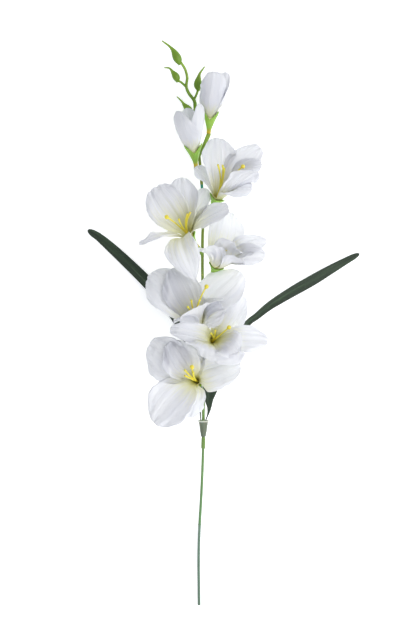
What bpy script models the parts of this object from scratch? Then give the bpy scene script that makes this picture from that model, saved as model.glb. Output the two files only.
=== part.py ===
"""A silk gladiolus spray, 80 cm long, laid down on its cut end and its two leaf tips.

The blooms face up. The stem runs along +Y from its cut end to the tip, and Z is height above the surface.
Run it with: blender --background --python part.py

Every size below is in millimetres. `Spray` coordinates start at the cut end: x is across, y is along the
stem and z is height. At the end the whole spray is moved so that the middle of its footprint is the origin.
"""

import math

import bmesh
import bpy
from mathutils import Matrix, Vector

MM = 0.001  # metres in a millimetre
UP = Vector((0, 0, 1))

# Driving dimensions of the stem, in millimetres.
ROD_RADIUS = 1.9  # plastic-coated rod below the leaves
ROD_BORE = 1.1
WIRE_RADIUS = 0.8  # steel wire inside the rod
ROD_TOP = 237.5  # the rod ends here, inside the spine's socket
SPINE_FOOT = 224.0  # lower edge of that socket
SPINE_RADIUS = 2.1
SOCKET_RADIUS = 2.9
SOCKET_DEPTH = 14.0
SPINE_TOP = 698.0
SPRIG_FOOT = 690.0
HEAD_HEIGHT = 26.0  # height of the spine where the blooms sit
FIT = 0.3  # gap between pieces that touch on the real spray
STEM_SIDES = 8

# Leaves and the collar that carries them.
BLADE = 0.9  # thickness of a leaf
COLLAR_FOOT = (241.0, 3.5)  # distance from the cut end, and outer radius
COLLAR_MOUTH = (264.0, 6.6)
COLLAR_WALL = 0.8
BAND_WIDTH = 2.0
LEAF_COLUMNS = 4
LEAF_ROWS = 16

# Blooms. Heights along a bloom start at its node, where the calyx meets its branch.
SHEET = 0.8  # thickness of a petal
CALYX_SIDES = 9
CALYX_WALL = 0.9
CALYX_SKIRT = 5.0  # how far the calyx reaches below the node
PIN_RADIUS = 1.2
PIN_BORE = 1.5
CUP_FLOOR = 2.4  # inner radius of the calyx at the node
CUP_WAIST = (9.0, 4.6)  # height and inner radius part of the way up
THROAT_TOP = 14.0  # upper edge of the white funnel that carries the petals
THROAT_FLOOR = 6.0
ROOT_HEIGHT = 11.0  # where petals are rooted in that funnel
OUTER_ROOT = 4.6
INNER_ROOT = 3.7
ROOT_WRAP = math.radians(42)  # how far a petal's root reaches round the throat, to either side
PETAL_COLUMNS = 4
PETAL_ROWS = 5
FILAMENT_RADIUS = 0.85
ANTHER_RADIUS = 3.0


def stem_point(y):
    """The middle of the stem at distance y from its cut end. It lies on the surface for the first stretch."""
    place = smooth_at(STEM_ROUTE, y)
    place.z = max(place.z, STEM_ROUTE[0][2])
    return place


# The stem's own bends: x and z at a few distances y from the cut end.
STEM_ROUTE = [
    (-5.6, 0, ROD_RADIUS * math.cos(math.pi / STEM_SIDES)),
    (-5.9, 25, ROD_RADIUS * math.cos(math.pi / STEM_SIDES)),
    (-6.2, 70, 3.6),
    (-5.0, 112, 6.8),
    (-2.6, 155, 10.6),
    (-0.6, 200, 14.6),
    (0.5, 240, 17.8),
    (0.6, 285, 21.0),
    (1.6, 330, 24.0),
    (3.4, 360, 25.5),
    (0.8, 420, HEAD_HEIGHT),
    (-0.7, 470, HEAD_HEIGHT),
    (-0.7, 520, HEAD_HEIGHT),
    (0.4, 560, HEAD_HEIGHT),
    (-2.0, 600, HEAD_HEIGHT + 1),
    (-5.5, 640, HEAD_HEIGHT + 2),
    (-8.6, 675, HEAD_HEIGHT + 3),
    (-11.4, 705, HEAD_HEIGHT + 4),
]


def smooth_at(route, y):
    """A smooth curve through a route whose points rise in y, read at y."""
    last = len(route) - 1
    k = max(i for i in range(last) if i == 0 or route[i][1] <= y)
    p = [Vector(route[min(max(i, 0), last)]) for i in (k - 1, k, k + 1, k + 2)]
    span = p[2].y - p[1].y
    t = (y - p[1].y) / span
    result = Vector((0, y, 0))
    for axis in (0, 2):
        before = (p[2][axis] - p[0][axis]) / max(p[2].y - p[0].y, 1e-6) * span
        after = (p[3][axis] - p[1][axis]) / max(p[3].y - p[1].y, 1e-6) * span
        result[axis] = (
            (2 * t**3 - 3 * t**2 + 1) * p[1][axis]
            + (t**3 - 2 * t**2 + t) * before
            + (3 * t**2 - 2 * t**3) * p[2][axis]
            + (t**3 - t**2) * after
        )
    return result


def read_list(values, share):
    """Reads a list of numbers at a share of its length, with straight lines between them."""
    spot = min(max(share, 0), 1) * (len(values) - 1)
    k = min(int(spot), len(values) - 2)
    return values[k] + (values[k + 1] - values[k]) * (spot - k)


def smooth_path(points, count):
    """count points, evenly spaced, on a smooth curve through a few given ones."""
    points = [Vector(p) for p in points]
    ends = [2 * points[0] - points[1]] + points + [2 * points[-1] - points[-2]]
    fine = []
    steps = 12
    for a, b, c, d in zip(ends, ends[1:], ends[2:], ends[3:]):
        for i in range(steps):
            t = i / steps
            fine.append(
                0.5 * (2 * b + (c - a) * t + (2 * a - 5 * b + 4 * c - d) * t**2 + (3 * b - a - 3 * c + d) * t**3)
            )
    fine.append(points[-1])
    reached = [0.0]
    for a, b in zip(fine, fine[1:]):
        reached.append(reached[-1] + (b - a).length)
    even = []
    k = 0
    for i in range(count):
        goal = reached[-1] * i / (count - 1)
        while k < len(fine) - 2 and reached[k + 1] < goal:
            k += 1
        share = (goal - reached[k]) / max(reached[k + 1] - reached[k], 1e-9)
        even.append(fine[k].lerp(fine[k + 1], min(max(share, 0), 1)))
    return even


def ease(low, high, x):
    """0 below low, 1 above high, and a smooth step between them."""
    t = min(max((x - low) / (high - low), 0), 1)
    return t * t * (3 - 2 * t)


def directions(path):
    """The unit direction of travel at each point of a path."""
    last = len(path) - 1
    return [(path[min(i + 1, last)] - path[max(i - 1, 0)]).normalized() for i in range(last + 1)]


def material(name, colour, roughness, metallic=0.0):
    """A Principled material in that colour."""
    made = bpy.data.materials.new(name)
    made.use_nodes = True
    shader = made.node_tree.nodes["Principled BSDF"]
    shader.inputs["Base Color"].default_value = (*colour, 1)
    shader.inputs["Roughness"].default_value = roughness
    shader.inputs["Metallic"].default_value = metallic
    made.diffuse_color = (*colour, 1)
    return made


def as_object(bm, name, finish, parent=None, smooth=True):
    """Turns a bmesh in millimetres into an object in metres."""
    bmesh.ops.scale(bm, vec=(MM, MM, MM), verts=bm.verts)
    mesh = bpy.data.meshes.new(name)
    bm.to_mesh(mesh)
    bm.free()
    mesh.materials.append(finish)
    made = bpy.data.objects.new(name, mesh)
    made.parent = parent
    bpy.context.scene.collection.objects.link(made)
    if smooth:
        mesh.shade_smooth()
        mesh.set_sharp_from_angle(angle=math.radians(40))
    return made


def stack_rings(bm, rings, sides, closed=False):
    """Joins rings of equal sides into a skin. Each ring is (radius, matrix). A closed stack meets its start."""
    made = [
        bmesh.ops.create_circle(bm, segments=sides, radius=radius, matrix=place)["verts"]
        for radius, place in rings
    ]
    pairs = list(zip(made, made[1:]))
    if closed:
        pairs.append((made[-1], made[0]))
    for low, high in pairs:
        for i in range(sides):
            k = (i + 1) % sides
            bm.faces.new((low[i], low[k], high[k], high[i]))
    if not closed:
        for ring in (made[0], made[-1]):
            bm.faces.new(ring)
    bmesh.ops.recalc_face_normals(bm, faces=bm.faces)
    return made


def ring_frame(centre, along):
    """Stands a ring at centre, square to a direction, with one flat side down."""
    across = along.cross(UP).normalized()
    raised = across.cross(along)
    turn = Matrix((across, raised, along)).transposed().to_4x4()
    return Matrix.Translation(centre) @ turn @ Matrix.Rotation(math.pi / STEM_SIDES, 4, "Z")


def add_tube(bm, path, radii, sides=STEM_SIDES, end=None):
    """A closed round rod along a path, with a radius for each of its points. Its end may face a given way."""
    heading = directions(path)
    if end is not None:
        heading[-1] = end
    rings = [(r, ring_frame(p, d)) for p, d, r in zip(path, heading, radii)]
    stack_rings(bm, rings, sides)


def tidy_union(mesh):
    """Removes pockets sealed inside a solid, whose skin faces inward, and loose crumbs, then merges flat faces."""
    bm = bmesh.new()
    bm.from_mesh(mesh)
    todo = set(bm.faces)
    while todo:
        skin = {todo.pop()}
        edge = list(skin)
        while edge:
            near = {f for e in edge.pop().edges for f in e.link_faces} - skin
            skin |= near
            edge += near
        todo -= skin
        near = next(iter(skin)).verts[0].co.copy()
        volume = sum((f.calc_center_median() - near).dot(f.normal) * f.calc_area() for f in skin) / 3
        if volume < 1e-9:
            bmesh.ops.delete(bm, geom=list({v for f in skin for v in f.verts}), context="VERTS")
    bm.to_mesh(mesh)
    bmesh.ops.dissolve_limit(bm, angle_limit=math.radians(1), verts=bm.verts, edges=bm.edges)
    bmesh.ops.triangulate(bm, faces=bm.faces, ngon_method="EAR_CLIP")
    if all(edge.is_manifold for edge in bm.edges):
        bm.to_mesh(mesh)
    bm.free()


def fused(name, body, pieces, finish, parent):
    """Joins pieces to a body in one solid with a Boolean union, which is applied."""
    group = bpy.data.collections.new(name + "_pieces")
    bpy.context.scene.collection.children.link(group)
    for piece in pieces:
        bpy.context.scene.collection.objects.unlink(piece)
        group.objects.link(piece)
    join = body.modifiers.new("join", "BOOLEAN")
    join.operation = "UNION"
    join.solver = "EXACT"
    join.operand_type = "COLLECTION"
    join.collection = group
    bpy.context.view_layer.update()
    graph = bpy.context.evaluated_depsgraph_get()
    mesh = bpy.data.meshes.new_from_object(body.evaluated_get(graph))
    mesh.name = name
    tidy_union(mesh)
    for helper in [*pieces, body]:
        bpy.data.objects.remove(helper)
    bpy.data.collections.remove(group)
    mesh.materials.clear()
    mesh.materials.append(finish)
    mesh.shade_smooth()
    mesh.set_sharp_from_angle(angle=math.radians(40))
    made = bpy.data.objects.new(name, mesh)
    made.parent = parent
    bpy.context.scene.collection.objects.link(made)
    return made


class Bloom:
    """Where one bloom sits: its node on the stem and the direction that it faces.

    The rings of a bloom start at its underside, so one sepal is below and a notch is on top.
    sepals: height of their points.  spread: widening of the calyx for each millimetre above its waist.
    """

    def __init__(self, node, faces, sepals=20.0, spread=0.68):
        self.node = Vector(node)
        self.axis = Vector(faces).normalized()
        self.sepals = sepals
        self.spread = spread
        under = (self.axis * self.axis.z - UP).normalized()
        self.turn = Matrix((under.cross(self.axis), under, self.axis)).transposed().to_4x4()

    def at(self, height):
        """The matrix of a ring at that height along the bloom."""
        return Matrix.Translation(self.node + self.axis * height) @ self.turn


class Petal:
    """One petal: a sheet along a curved spine, from its root in the throat to its tip.

    tip: place of the tip from the bloom's node.      width: widest measure across.
    tip_lean: direction of the spine at the tip, in degrees from the bloom's axis, 90 is straight out.
    cup: how far the middle is hollowed, in degrees.  cup_tip: the same at the tip; below 0 it curls back.
    twist: turn of the tip about the spine.           wave: height of the ruffle.
    inner: True in the inner whorl.                   full: where along the petal it is widest.
    blunt: how much shorter its sides are.            taper: how much narrower it is at the tip.
    flare: degrees between its root and the axis.     reach: how far it keeps straight at root and tip.
    corner: how much its far corners are rounded, from 0 to 1.
    """

    def __init__(self, tip, width, tip_lean=100, cup=25, cup_tip=5, twist=0, wave=2.0, waves=1.5,
                 phase=0.0, inner=True, full=0.62, reach=(0.38, 0.36), blunt=0.17, taper=0.35, flare=None,
                 corner=0.72):
        self.tip = Vector(tip)
        self.width = width
        self.tip_lean = math.radians(tip_lean)
        self.cup = math.radians(cup)
        self.cup_tip = math.radians(cup_tip)
        self.twist = math.radians(twist)
        self.wave = wave
        self.waves = waves
        self.phase = phase
        self.inner = inner
        self.full = full
        self.reach = reach
        self.blunt = blunt
        self.taper = taper
        self.corner = corner
        self.flare = math.radians(flare if flare is not None else 15 if inner else 21)

    def lay(self, bloom):
        """Works out the spine for a bloom."""
        self.axis = bloom.axis
        self.node = bloom.node
        out = self.tip - self.axis * self.tip.dot(self.axis)
        self.out = out.normalized()
        self.across = self.axis.cross(self.out)
        root_radius = INNER_ROOT if self.inner else OUTER_ROOT
        self.root_width = root_radius * ROOT_WRAP
        start = self.axis * ROOT_HEIGHT + self.out * root_radius
        length = (self.tip - start).length
        leaving = self.axis * math.cos(self.flare) + self.out * math.sin(self.flare)
        arriving = self.axis * math.cos(self.tip_lean) + self.out * math.sin(self.tip_lean)
        self.handles = (
            start,
            start + leaving * length * self.reach[0],
            self.tip - arriving * length * self.reach[1],
            self.tip,
        )

    def spine(self, s):
        """Place, direction of travel, and the way that the inner face looks, at share s of the spine."""
        a, b, c, d = self.handles
        r = 1 - s
        place = a * r**3 + b * (3 * r * r * s) + c * (3 * r * s * s) + d * s**3
        along = ((b - a) * (r * r) + (c - b) * (2 * r * s) + (d - c) * (s * s)).normalized()
        across = Matrix.Rotation(self.twist * ease(0.2, 1, s), 3, along) @ self.across
        return place, along, across

    def half_width(self, s, place):
        """Half the petal's measure across at s, held narrow where the petals share the throat."""
        rise = math.sin(min(s / self.full, 1) * math.pi / 2)
        fall = 1 - self.taper * max((s - self.full) / (1 - self.full), 0) ** 2
        free = self.root_width + (self.width / 2 - self.root_width) * rise * fall
        from_axis = (place - self.axis * place.dot(self.axis)).length
        room = from_axis * (1.0 + 1.5 * ease(0.12, 0.4, s))
        return min(free, max(room, self.root_width))

    def point(self, u, v):
        """The sheet at u across, from -1 to 1, and v along, from 0 to 1."""
        end = max((v - 0.76) / 0.24, 0)
        u *= math.sqrt(1 - self.corner * end * end)
        s = v * (1 - self.blunt * abs(u) ** 2.2)
        place, along, across = self.spine(s)
        half = self.half_width(s, place)
        inward = along.cross(across)
        bend = ROOT_WRAP + (self.cup - ROOT_WRAP) * ease(0, 0.4, s)
        bend += (self.cup_tip - self.cup) * ease(0.5, 1, s)
        bend = bend if abs(bend) > 1e-3 else 1e-3
        radius = half / bend
        sideways = radius * math.sin(u * bend)
        raised = radius * (1 - math.cos(u * bend))
        ruffle = math.sin(math.tau * self.waves * v + self.phase + (1.9 if u > 0 else 0))
        raised += self.wave * abs(u) ** 1.6 * ruffle * ease(0.3, 0.75, v)
        return self.node + place + across * sideways + inward * raised


def petal_sheet(petal, finish):
    """A petal as a thin closed solid, split into triangles alike on both faces."""
    bm = bmesh.new()
    grid = bmesh.ops.create_grid(bm, x_segments=PETAL_COLUMNS, y_segments=PETAL_ROWS, size=1.0)
    for vert in grid["verts"]:
        vert.co = petal.point(vert.co.x, (vert.co.y + 1) / 2)
    bmesh.ops.triangulate(bm, faces=bm.faces, quad_method="FIXED")
    made = as_object(bm, "petal", finish)
    thick = made.modifiers.new("thickness", "SOLIDIFY")
    thick.thickness = SHEET * MM
    thick.offset = 0
    return made


def throat(bloom, finish):
    """The white funnel in the calyx that carries the petals, hollow from above."""
    gap = FIT + 0.05
    waist, waist_radius = CUP_WAIST
    outer = [
        (CUP_FLOOR - gap, gap),
        (waist_radius - gap, waist),
        (waist_radius + 1.5, THROAT_TOP),
    ]
    inner = [
        (waist_radius - 0.1, THROAT_TOP),
        (2.3, THROAT_FLOOR + 1.5),
        (1.7, THROAT_FLOOR),
    ]
    bm = bmesh.new()
    stack_rings(bm, [(r, bloom.at(h)) for r, h in outer + inner], CALYX_SIDES)
    return as_object(bm, "throat", finish)


def petals(name, bloom, leaves, finish, parent):
    """All the petals of one bloom, fused at the throat."""
    sheets = []
    for petal in leaves:
        petal.lay(bloom)
        sheets.append(petal_sheet(petal, finish))
    return fused(name, throat(bloom, finish), sheets, finish, parent)


def calyx(name, bloom, finish, parent):
    """A green cup with three pointed sepals, bored for the pin of its branch."""
    waist, waist_radius = CUP_WAIST
    notch = THROAT_TOP + 1.5
    rim = waist_radius + (notch - waist) * bloom.spread
    profile = [
        (PIN_BORE, -CALYX_SKIRT),
        (PIN_BORE, 0.0),
        (CUP_FLOOR, 0.0),
        (waist_radius, waist),
        (rim, notch),
        (rim + CALYX_WALL, notch),
        (waist_radius + CALYX_WALL, waist - 1),
        (CUP_FLOOR + CALYX_WALL, 0.0),
        (CUP_FLOOR + 0.7, -CALYX_SKIRT),
    ]
    bm = bmesh.new()
    rings = stack_rings(bm, [(r, bloom.at(h)) for r, h in profile], CALYX_SIDES, closed=True)
    every = CALYX_SIDES // 3
    for ring in (rings[4], rings[5]):
        for i, vert in enumerate(ring):
            share = abs((i + every / 2) % every - every / 2) / (every / 2)
            lift = (bloom.sepals - notch) * (1 - share) ** 1.5
            height = bloom.axis * (notch + lift)
            radial = vert.co - bloom.node - bloom.axis * notch
            vert.co = bloom.node + height + radial.normalized() * (radial.length + lift * bloom.spread * 1.1)
    return as_object(bm, name, finish, parent)


def filament_path(bloom, tip, start, count):
    """A stamen's route from the throat to its tip."""
    root = bloom.axis * (THROAT_FLOOR + 1.6) + start
    tip = Vector(tip)
    reach = (tip - root).length
    control = root + bloom.axis * reach * 0.55
    path = []
    for i in range(count):
        t = i / (count - 1)
        path.append(bloom.node + root * (1 - t) ** 2 + control * (2 * t * (1 - t)) + tip * t * t)
    return path


def stamens(name, bloom, tips, finish, parent):
    """A moulded tuft: a short foot in the throat with thin filaments, the first with a round head."""
    foot = bmesh.new()
    heights = (THROAT_FLOOR + FIT + 0.05, THROAT_FLOOR + 2.2)
    stack_rings(foot, [(1.3, bloom.at(h)) for h in heights], CALYX_SIDES)
    pieces = []
    for k, tip in enumerate(tips):
        angle = math.tau * k / len(tips)
        start = (bloom.turn @ Vector((math.cos(angle), math.sin(angle), 0))) * 0.55
        path = filament_path(bloom, tip, start, 4)
        bm = bmesh.new()
        add_tube(bm, path, [FILAMENT_RADIUS] * 4, sides=4)
        pieces.append(as_object(bm, "filament", finish))
        if k == 0:
            head = bmesh.new()
            along = (path[-1] - path[-2]).normalized()
            spot = Matrix.Translation(path[-1]) @ along.to_track_quat("Z", "Y").to_matrix().to_4x4()
            bmesh.ops.create_icosphere(head, subdivisions=1, radius=ANTHER_RADIUS, matrix=spot)
            pieces.append(as_object(head, "anther", finish))
    return fused(name, as_object(foot, "foot", finish), pieces, finish, parent)


def branch_piece(bloom, root_y, finish):
    """A short branch from the spine to a bloom's node, ending in the pin that the calyx is pushed on."""
    root = stem_point(root_y)
    shoulder = bloom.node - bloom.axis * (CALYX_SKIRT + FIT)
    neck = shoulder - bloom.axis * 2.5
    stalk = smooth_path([root, root.lerp(neck, 0.5) + UP * 0.5, neck], 5) + [shoulder]
    bm = bmesh.new()
    add_tube(bm, stalk, [1.8, 2.1, 2.4, 2.7, 3.0, 3.1], sides=6, end=bloom.axis)
    branch = as_object(bm, "branch", finish)
    bm = bmesh.new()
    pin = [shoulder - bloom.axis * 2, bloom.node + bloom.axis * 0.05]
    add_tube(bm, pin, [PIN_RADIUS] * 2, sides=6)
    return [branch, as_object(bm, "pin", finish)]


def pipe(name, low, high, outer, inner, steps, finish, parent):
    """A length of the stem with a bore right through it."""
    spots = [low + (high - low) * i / (steps - 1) for i in range(steps)]
    path = [stem_point(y) for y in spots]
    frames = [ring_frame(p, d) for p, d in zip(path, directions(path))]
    bm = bmesh.new()
    rings = [(outer, f) for f in frames] + [(inner, f) for f in reversed(frames)]
    stack_rings(bm, rings, STEM_SIDES, closed=True)
    return as_object(bm, name, finish, parent)


def spine_body(finish):
    """The upper stem: a socket for the rod at its foot and a pin for the sprig at its top."""
    bore = ROD_RADIUS + FIT
    profile = [(SPINE_FOOT + SOCKET_DEPTH, bore), (SPINE_FOOT, bore), (SPINE_FOOT, SOCKET_RADIUS)]
    profile += [(COLLAR_FOOT[0] - 2.5, SOCKET_RADIUS), (COLLAR_FOOT[0] - 0.5, SPINE_RADIUS)]
    shoulder = SPRIG_FOOT - FIT
    count = 17
    start = COLLAR_FOOT[0] + 8
    profile += [(start + (shoulder - start) * i / count, SPINE_RADIUS) for i in range(count + 1)]
    profile += [(shoulder, PIN_RADIUS), (SPINE_TOP, PIN_RADIUS)]
    rings = []
    for y, radius in profile:
        along = (stem_point(y + 2) - stem_point(y - 2)).normalized()
        rings.append((radius, ring_frame(stem_point(y), along)))
    bm = bmesh.new()
    stack_rings(bm, rings, STEM_SIDES)
    return as_object(bm, "spine", finish)


def collar(finish, parent):
    """A conical cup round the spine that holds the stalks of the two leaves."""
    (foot, foot_radius), (mouth, mouth_radius) = COLLAR_FOOT, COLLAR_MOUTH
    bore = SPINE_RADIUS + FIT
    profile = [(foot, bore), (foot + 5, bore), (mouth, mouth_radius - COLLAR_WALL)]
    profile += [(mouth, mouth_radius), (foot + 6, foot_radius + 0.9), (foot, foot_radius)]
    along = (stem_point(mouth) - stem_point(foot)).normalized()
    bm = bmesh.new()
    rings = [(r, ring_frame(stem_point(y), along)) for y, r in profile]
    stack_rings(bm, rings, 16, closed=True)
    return as_object(bm, "leaf_collar", finish, parent)


def collar_band(finish, parent):
    """A thin pale ring round the collar's mouth."""
    mouth, mouth_radius = COLLAR_MOUTH
    inner = mouth_radius + FIT
    profile = [(mouth - BAND_WIDTH, inner), (mouth, inner), (mouth, inner + 0.7), (mouth - BAND_WIDTH, inner + 0.7)]
    along = (stem_point(mouth) - stem_point(COLLAR_FOOT[0])).normalized()
    bm = bmesh.new()
    stack_rings(bm, [(r, ring_frame(stem_point(y), along)) for y, r in profile], 16, closed=True)
    return as_object(bm, "collar_band", finish, parent)


class Leaf:
    """A strap leaf on a thin stalk. Its last stretch lies flat on the surface.

    widths are full measures across, evenly spaced from the stalk to the tip.
    """

    def __init__(self, route, widths, stalk, flat, fold=12):
        self.path = smooth_path(route, 80)
        for place in self.path:
            place.z = max(place.z, BLADE / 2)
        self.widths = widths
        self.stalk = stalk
        self.flat = flat
        self.fold = math.radians(fold)

    def half_width(self, v):
        """Half the measure across at share v of the length."""
        close = math.sqrt(max(1 - max((v - 0.965) / 0.04, 0) ** 2, 0))
        return sum(read_list(self.widths, v + step) for step in (-0.02, 0, 0.02)) / 6 * close

    def point(self, u, v):
        """The sheet at u across, from -1 to 1, and v along, from 0 at the stalk to 1 at the tip."""
        last = len(self.path) - 1
        spot = min(v * last, last - 1e-6)
        k = int(spot)
        place = self.path[k].lerp(self.path[k + 1], spot - k)
        along = self.path[min(k + 2, last)] - self.path[max(k - 1, 0)]
        across = along.cross(UP).normalized()
        half = self.half_width(v)
        fold = math.tan(self.fold) * ease(self.stalk, self.stalk + 0.2, v) * (1 - ease(0.6, self.flat, v))
        return place + across * (u * half) + UP * (abs(u) * half * fold)


def leaf(name, shape, finish, parent):
    """A leaf as a thin closed solid, split into triangles alike on both faces."""
    bm = bmesh.new()
    grid = bmesh.ops.create_grid(bm, x_segments=LEAF_COLUMNS, y_segments=LEAF_ROWS, size=1.0)
    for vert in grid["verts"]:
        share = (vert.co.y + 1) / 2
        crowded = share - 0.75 * math.sin(math.tau * share) / math.tau  # rows lie closer at both ends
        vert.co = shape.point(vert.co.x, crowded)
    bmesh.ops.triangulate(bm, faces=bm.faces, quad_method="FIXED")
    made = as_object(bm, name, finish, parent)
    thick = made.modifiers.new("thickness", "SOLIDIFY")
    thick.thickness = BLADE * MM
    thick.offset = 0
    return made


def green_bud(points, radii, finish):
    """A small moulded bud: a round body drawn out to a point."""
    bm = bmesh.new()
    add_tube(bm, smooth_path(points, len(radii)), radii)
    return as_object(bm, "bud", finish)


# Six open blooms. Places are in millimetres from the cut end, tips from the bloom's own node.
BLOOMS = [
    Bloom((12.7, 565, 36), (0.42, 0.80, 0.42), sepals=21),
    Bloom((-10.6, 512.5, 36), (-0.55, 0.65, 0.50), sepals=21),
    Bloom((13.5, 471, 36), (0.34, 0.74, 0.58), sepals=20),
    Bloom((0, 390.6, 36), (-0.35, 0.60, 0.72), sepals=20),
    Bloom((11.3, 375.8, 36), (0.20, 0.15, 0.95), sepals=16, spread=0.95),
    Bloom((-6.3, 318.7, 35), (-0.25, 0.15, 0.95), sepals=16, spread=0.95),
]
BRANCH_ROOTS = [551, 497, 456, 378, 367, 320]

PETALS = [
    [
        Petal((6, 97, 13), 56, tip_lean=40, cup=20, wave=2.5, blunt=0.12, twist=-33),
        Petal((-22, 57, 14), 36, tip_lean=60, inner=False, twist=-22),
        Petal((68, 84, 12), 50, tip_lean=50, inner=False, blunt=0.14, twist=7),
        Petal((70, 58, 32), 41, tip_lean=60, twist=40),
        Petal((63, 46, 64), 42, tip_lean=35, inner=False, twist=-30),
        Petal((55, 23, 43), 42, tip_lean=60, twist=57),
    ],
    [
        Petal((-57, 80, 11), 57, tip_lean=60, inner=False, blunt=0.07, corner=0.5, twist=3),
        Petal((-21, 94, 8), 58, tip_lean=50, twist=32),
        Petal((15, 79, 0), 44, tip_lean=75, inner=False, twist=27),
        Petal((46, 51, 42), 38, tip_lean=85, blunt=0.08, taper=0.15, twist=23),
        Petal((-78, -1, 41), 30, tip_lean=70, twist=8),
        Petal((0, -50, 43), 52, tip_lean=150, inner=False, full=0.4, taper=0.7, blunt=0.3,
              reach=(0.8, 0.5), twist=-32),
    ],
    [
        Petal((22, 88, 6), 55, tip_lean=70, inner=False, blunt=0.12, twist=3),
        Petal((76, 47, 15), 34, tip_lean=70, twist=33),
        Petal((74, 25, 29), 39, tip_lean=75, inner=False, twist=43),
        Petal((-9, 37, 49), 46, tip_lean=40, inner=False, flare=36, reach=(0.6, 0.45), blunt=0.1,
              twist=86),
        Petal((31, 41, 48), 52, tip_lean=40, flare=34, reach=(0.6, 0.45), twist=-50),
        Petal((44, 19, 48), 40, tip_lean=45, flare=40, reach=(0.6, 0.45), twist=-45),
    ],
    [
        Petal((-75, 79, 10), 62, tip_lean=80, inner=False, blunt=0.12, corner=0.6, twist=-12),
        Petal((-44, 88, 25), 56, tip_lean=70, twist=-3),
        Petal((54, 82, 16), 66, tip_lean=80, inner=False, cup_tip=-15, twist=28),
        Petal((27, 35, 40), 48, tip_lean=60, twist=43),
        Petal((-38, 15, 45), 40, tip_lean=50, twist=60),
        Petal((-4, 37, 50), 86, tip_lean=20, inner=False, flare=12, cup=12, cup_tip=-12,
              blunt=0.08, twist=-56),
    ],
    [
        Petal((26, 62, 1), 29, tip_lean=100, cup=10, inner=False, reach=(0.28, 0.36), twist=-3),
        Petal((45, 65, 12), 46, tip_lean=80, reach=(0.3, 0.36), twist=-3),
        Petal((80, 2, 34), 39, tip_lean=95, inner=False),
        Petal((39, -19, 49), 45, tip_lean=130, reach=(0.7, 0.6), twist=-3),
        Petal((-57, 17, 54), 29, tip_lean=105, reach=(0.5, 0.4), blunt=0.1, twist=3),
        Petal((-1, -27, 49), 84, tip_lean=140, inner=False, reach=(0.9, 0.7), cup=8, cup_tip=-12,
              blunt=0.08, twist=16),
    ],
    [
        Petal((-69, 54, 16), 66, tip_lean=90, inner=False, blunt=0.1, twist=-22),
        Petal((-40, 57, 34), 55, tip_lean=70),
        Petal((-9, 57, 12), 40, tip_lean=95, inner=False, reach=(0.3, 0.36)),
        Petal((59, 25, 19), 54, tip_lean=95, full=0.45, taper=0.55, blunt=0.12, corner=0.5),
        Petal((-62, -57, 24), 68, tip_lean=105, twist=3),
        Petal((-15, -49, 16), 46, tip_lean=105, inner=False),
    ],
]

STAMENS = [
    [(43, 55, 40), (8, 58, 34), (15, 57, 36), (17, 53, 34)],
    [(-40, 37, 42), (-23, 34, 42), (-11, 42, 32), (-7, 44, 34)],
    [(18, 38, 32), (13, 36, 31), (20, 33, 33)],
    [(5, 62, 50), (-21, 34, 54), (-16, 43, 50), (-4, 44, 52)],
    [(25, 20, 46), (0, 12, 42), (6, 16, 44)],
    [(-9, 22, 46), (-19, 18, 45), (-19, 10, 42), (-7, 15, 44)],
]

# Two half-closed white buds.
CLOSED = [
    Bloom((8.3, 674, 36), (0.10, 0.96, 0.24), sepals=29, spread=0.38),
    Bloom((-10.4, 627, 35), (-0.13, 0.96, 0.25), sepals=29, spread=0.45),
]
CLOSED_ROOTS = [638, 612]
CLOSED_PETALS = [
    [
        Petal((9, 79, 30), 48, tip_lean=-25, cup=75, cup_tip=55, wave=0.5, full=0.42, blunt=0.1,
              taper=0.2),
        Petal((24, 80, 14), 31, tip_lean=5, cup=50, cup_tip=25, twist=40, wave=1, inner=False,
              taper=0.25),
        Petal((0, 76, 12), 38, tip_lean=-10, cup=75, cup_tip=55, wave=0.5, inner=False, blunt=0.2,
              taper=0.3),
    ],
    [
        Petal((4, 81, 34), 36, tip_lean=-20, cup=65, cup_tip=45, wave=0.5, full=0.5, blunt=0.22,
              taper=0.25),
        Petal((-24, 73, 33), 52, tip_lean=-22, cup=70, cup_tip=60, wave=0.5, inner=False,
              full=0.42, blunt=0.15, taper=0.2, flare=22),
        Petal((-12, 77, 8), 38, tip_lean=-10, cup=70, cup_tip=55, wave=0.5, inner=False, blunt=0.2,
              taper=0.3),
    ],
]

LEFT_LEAF = Leaf(
    [(-2.55, 259.5, 19.6), (-3.1, 264, 20.1), (-3.8, 272, 20.8), (-3.8, 286, 21.5), (-4.2, 314, 20.5),
     (-15, 362, 17.5), (-37, 410, 14), (-59, 437, 11.5), (-82.5, 463, 8.5), (-111.7, 491.4, 4.6),
     (-129.5, 507.8, 2.2), (-147, 523, 0.45), (-156, 529, 0.45), (-164.5, 534.3, 0.45)],
    [1.0, 2.0, 2.6, 4, 7.5, 11, 13.5, 15.2, 16.3, 17, 17.5, 17.6, 17.4, 17.1, 16.7, 16.2, 15.6,
     14.8, 13.4, 11.4, 9],
    stalk=0.1, flat=0.86,
)
RIGHT_LEAF = Leaf(
    [(3.4, 259.5, 19.7), (4.2, 265, 20.6), (6.8, 272, 22.2), (8.8, 282, 24.6), (8.6, 296, 26.8),
     (12.5, 314, 26.5), (22, 341, 23.5), (39, 371, 19.5), (62.3, 400.4, 16), (76.5, 411.7, 14.2),
     (95.1, 426.6, 11.8), (123.6, 444.4, 8.6), (156.3, 463, 4.9), (180.5, 477.2, 2.2), (197, 486.6, 0.45),
     (210, 493.8, 0.45), (223, 500.6, 0.45)],
    [1.0, 2.2, 12, 21, 20, 15.5, 12.4, 10.4, 9.2, 8.8, 9.4, 11, 12.6, 14, 15, 15.4, 15, 13.6,
     11.6, 9.4, 7],
    stalk=0.04, flat=0.88, fold=9,
)


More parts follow.
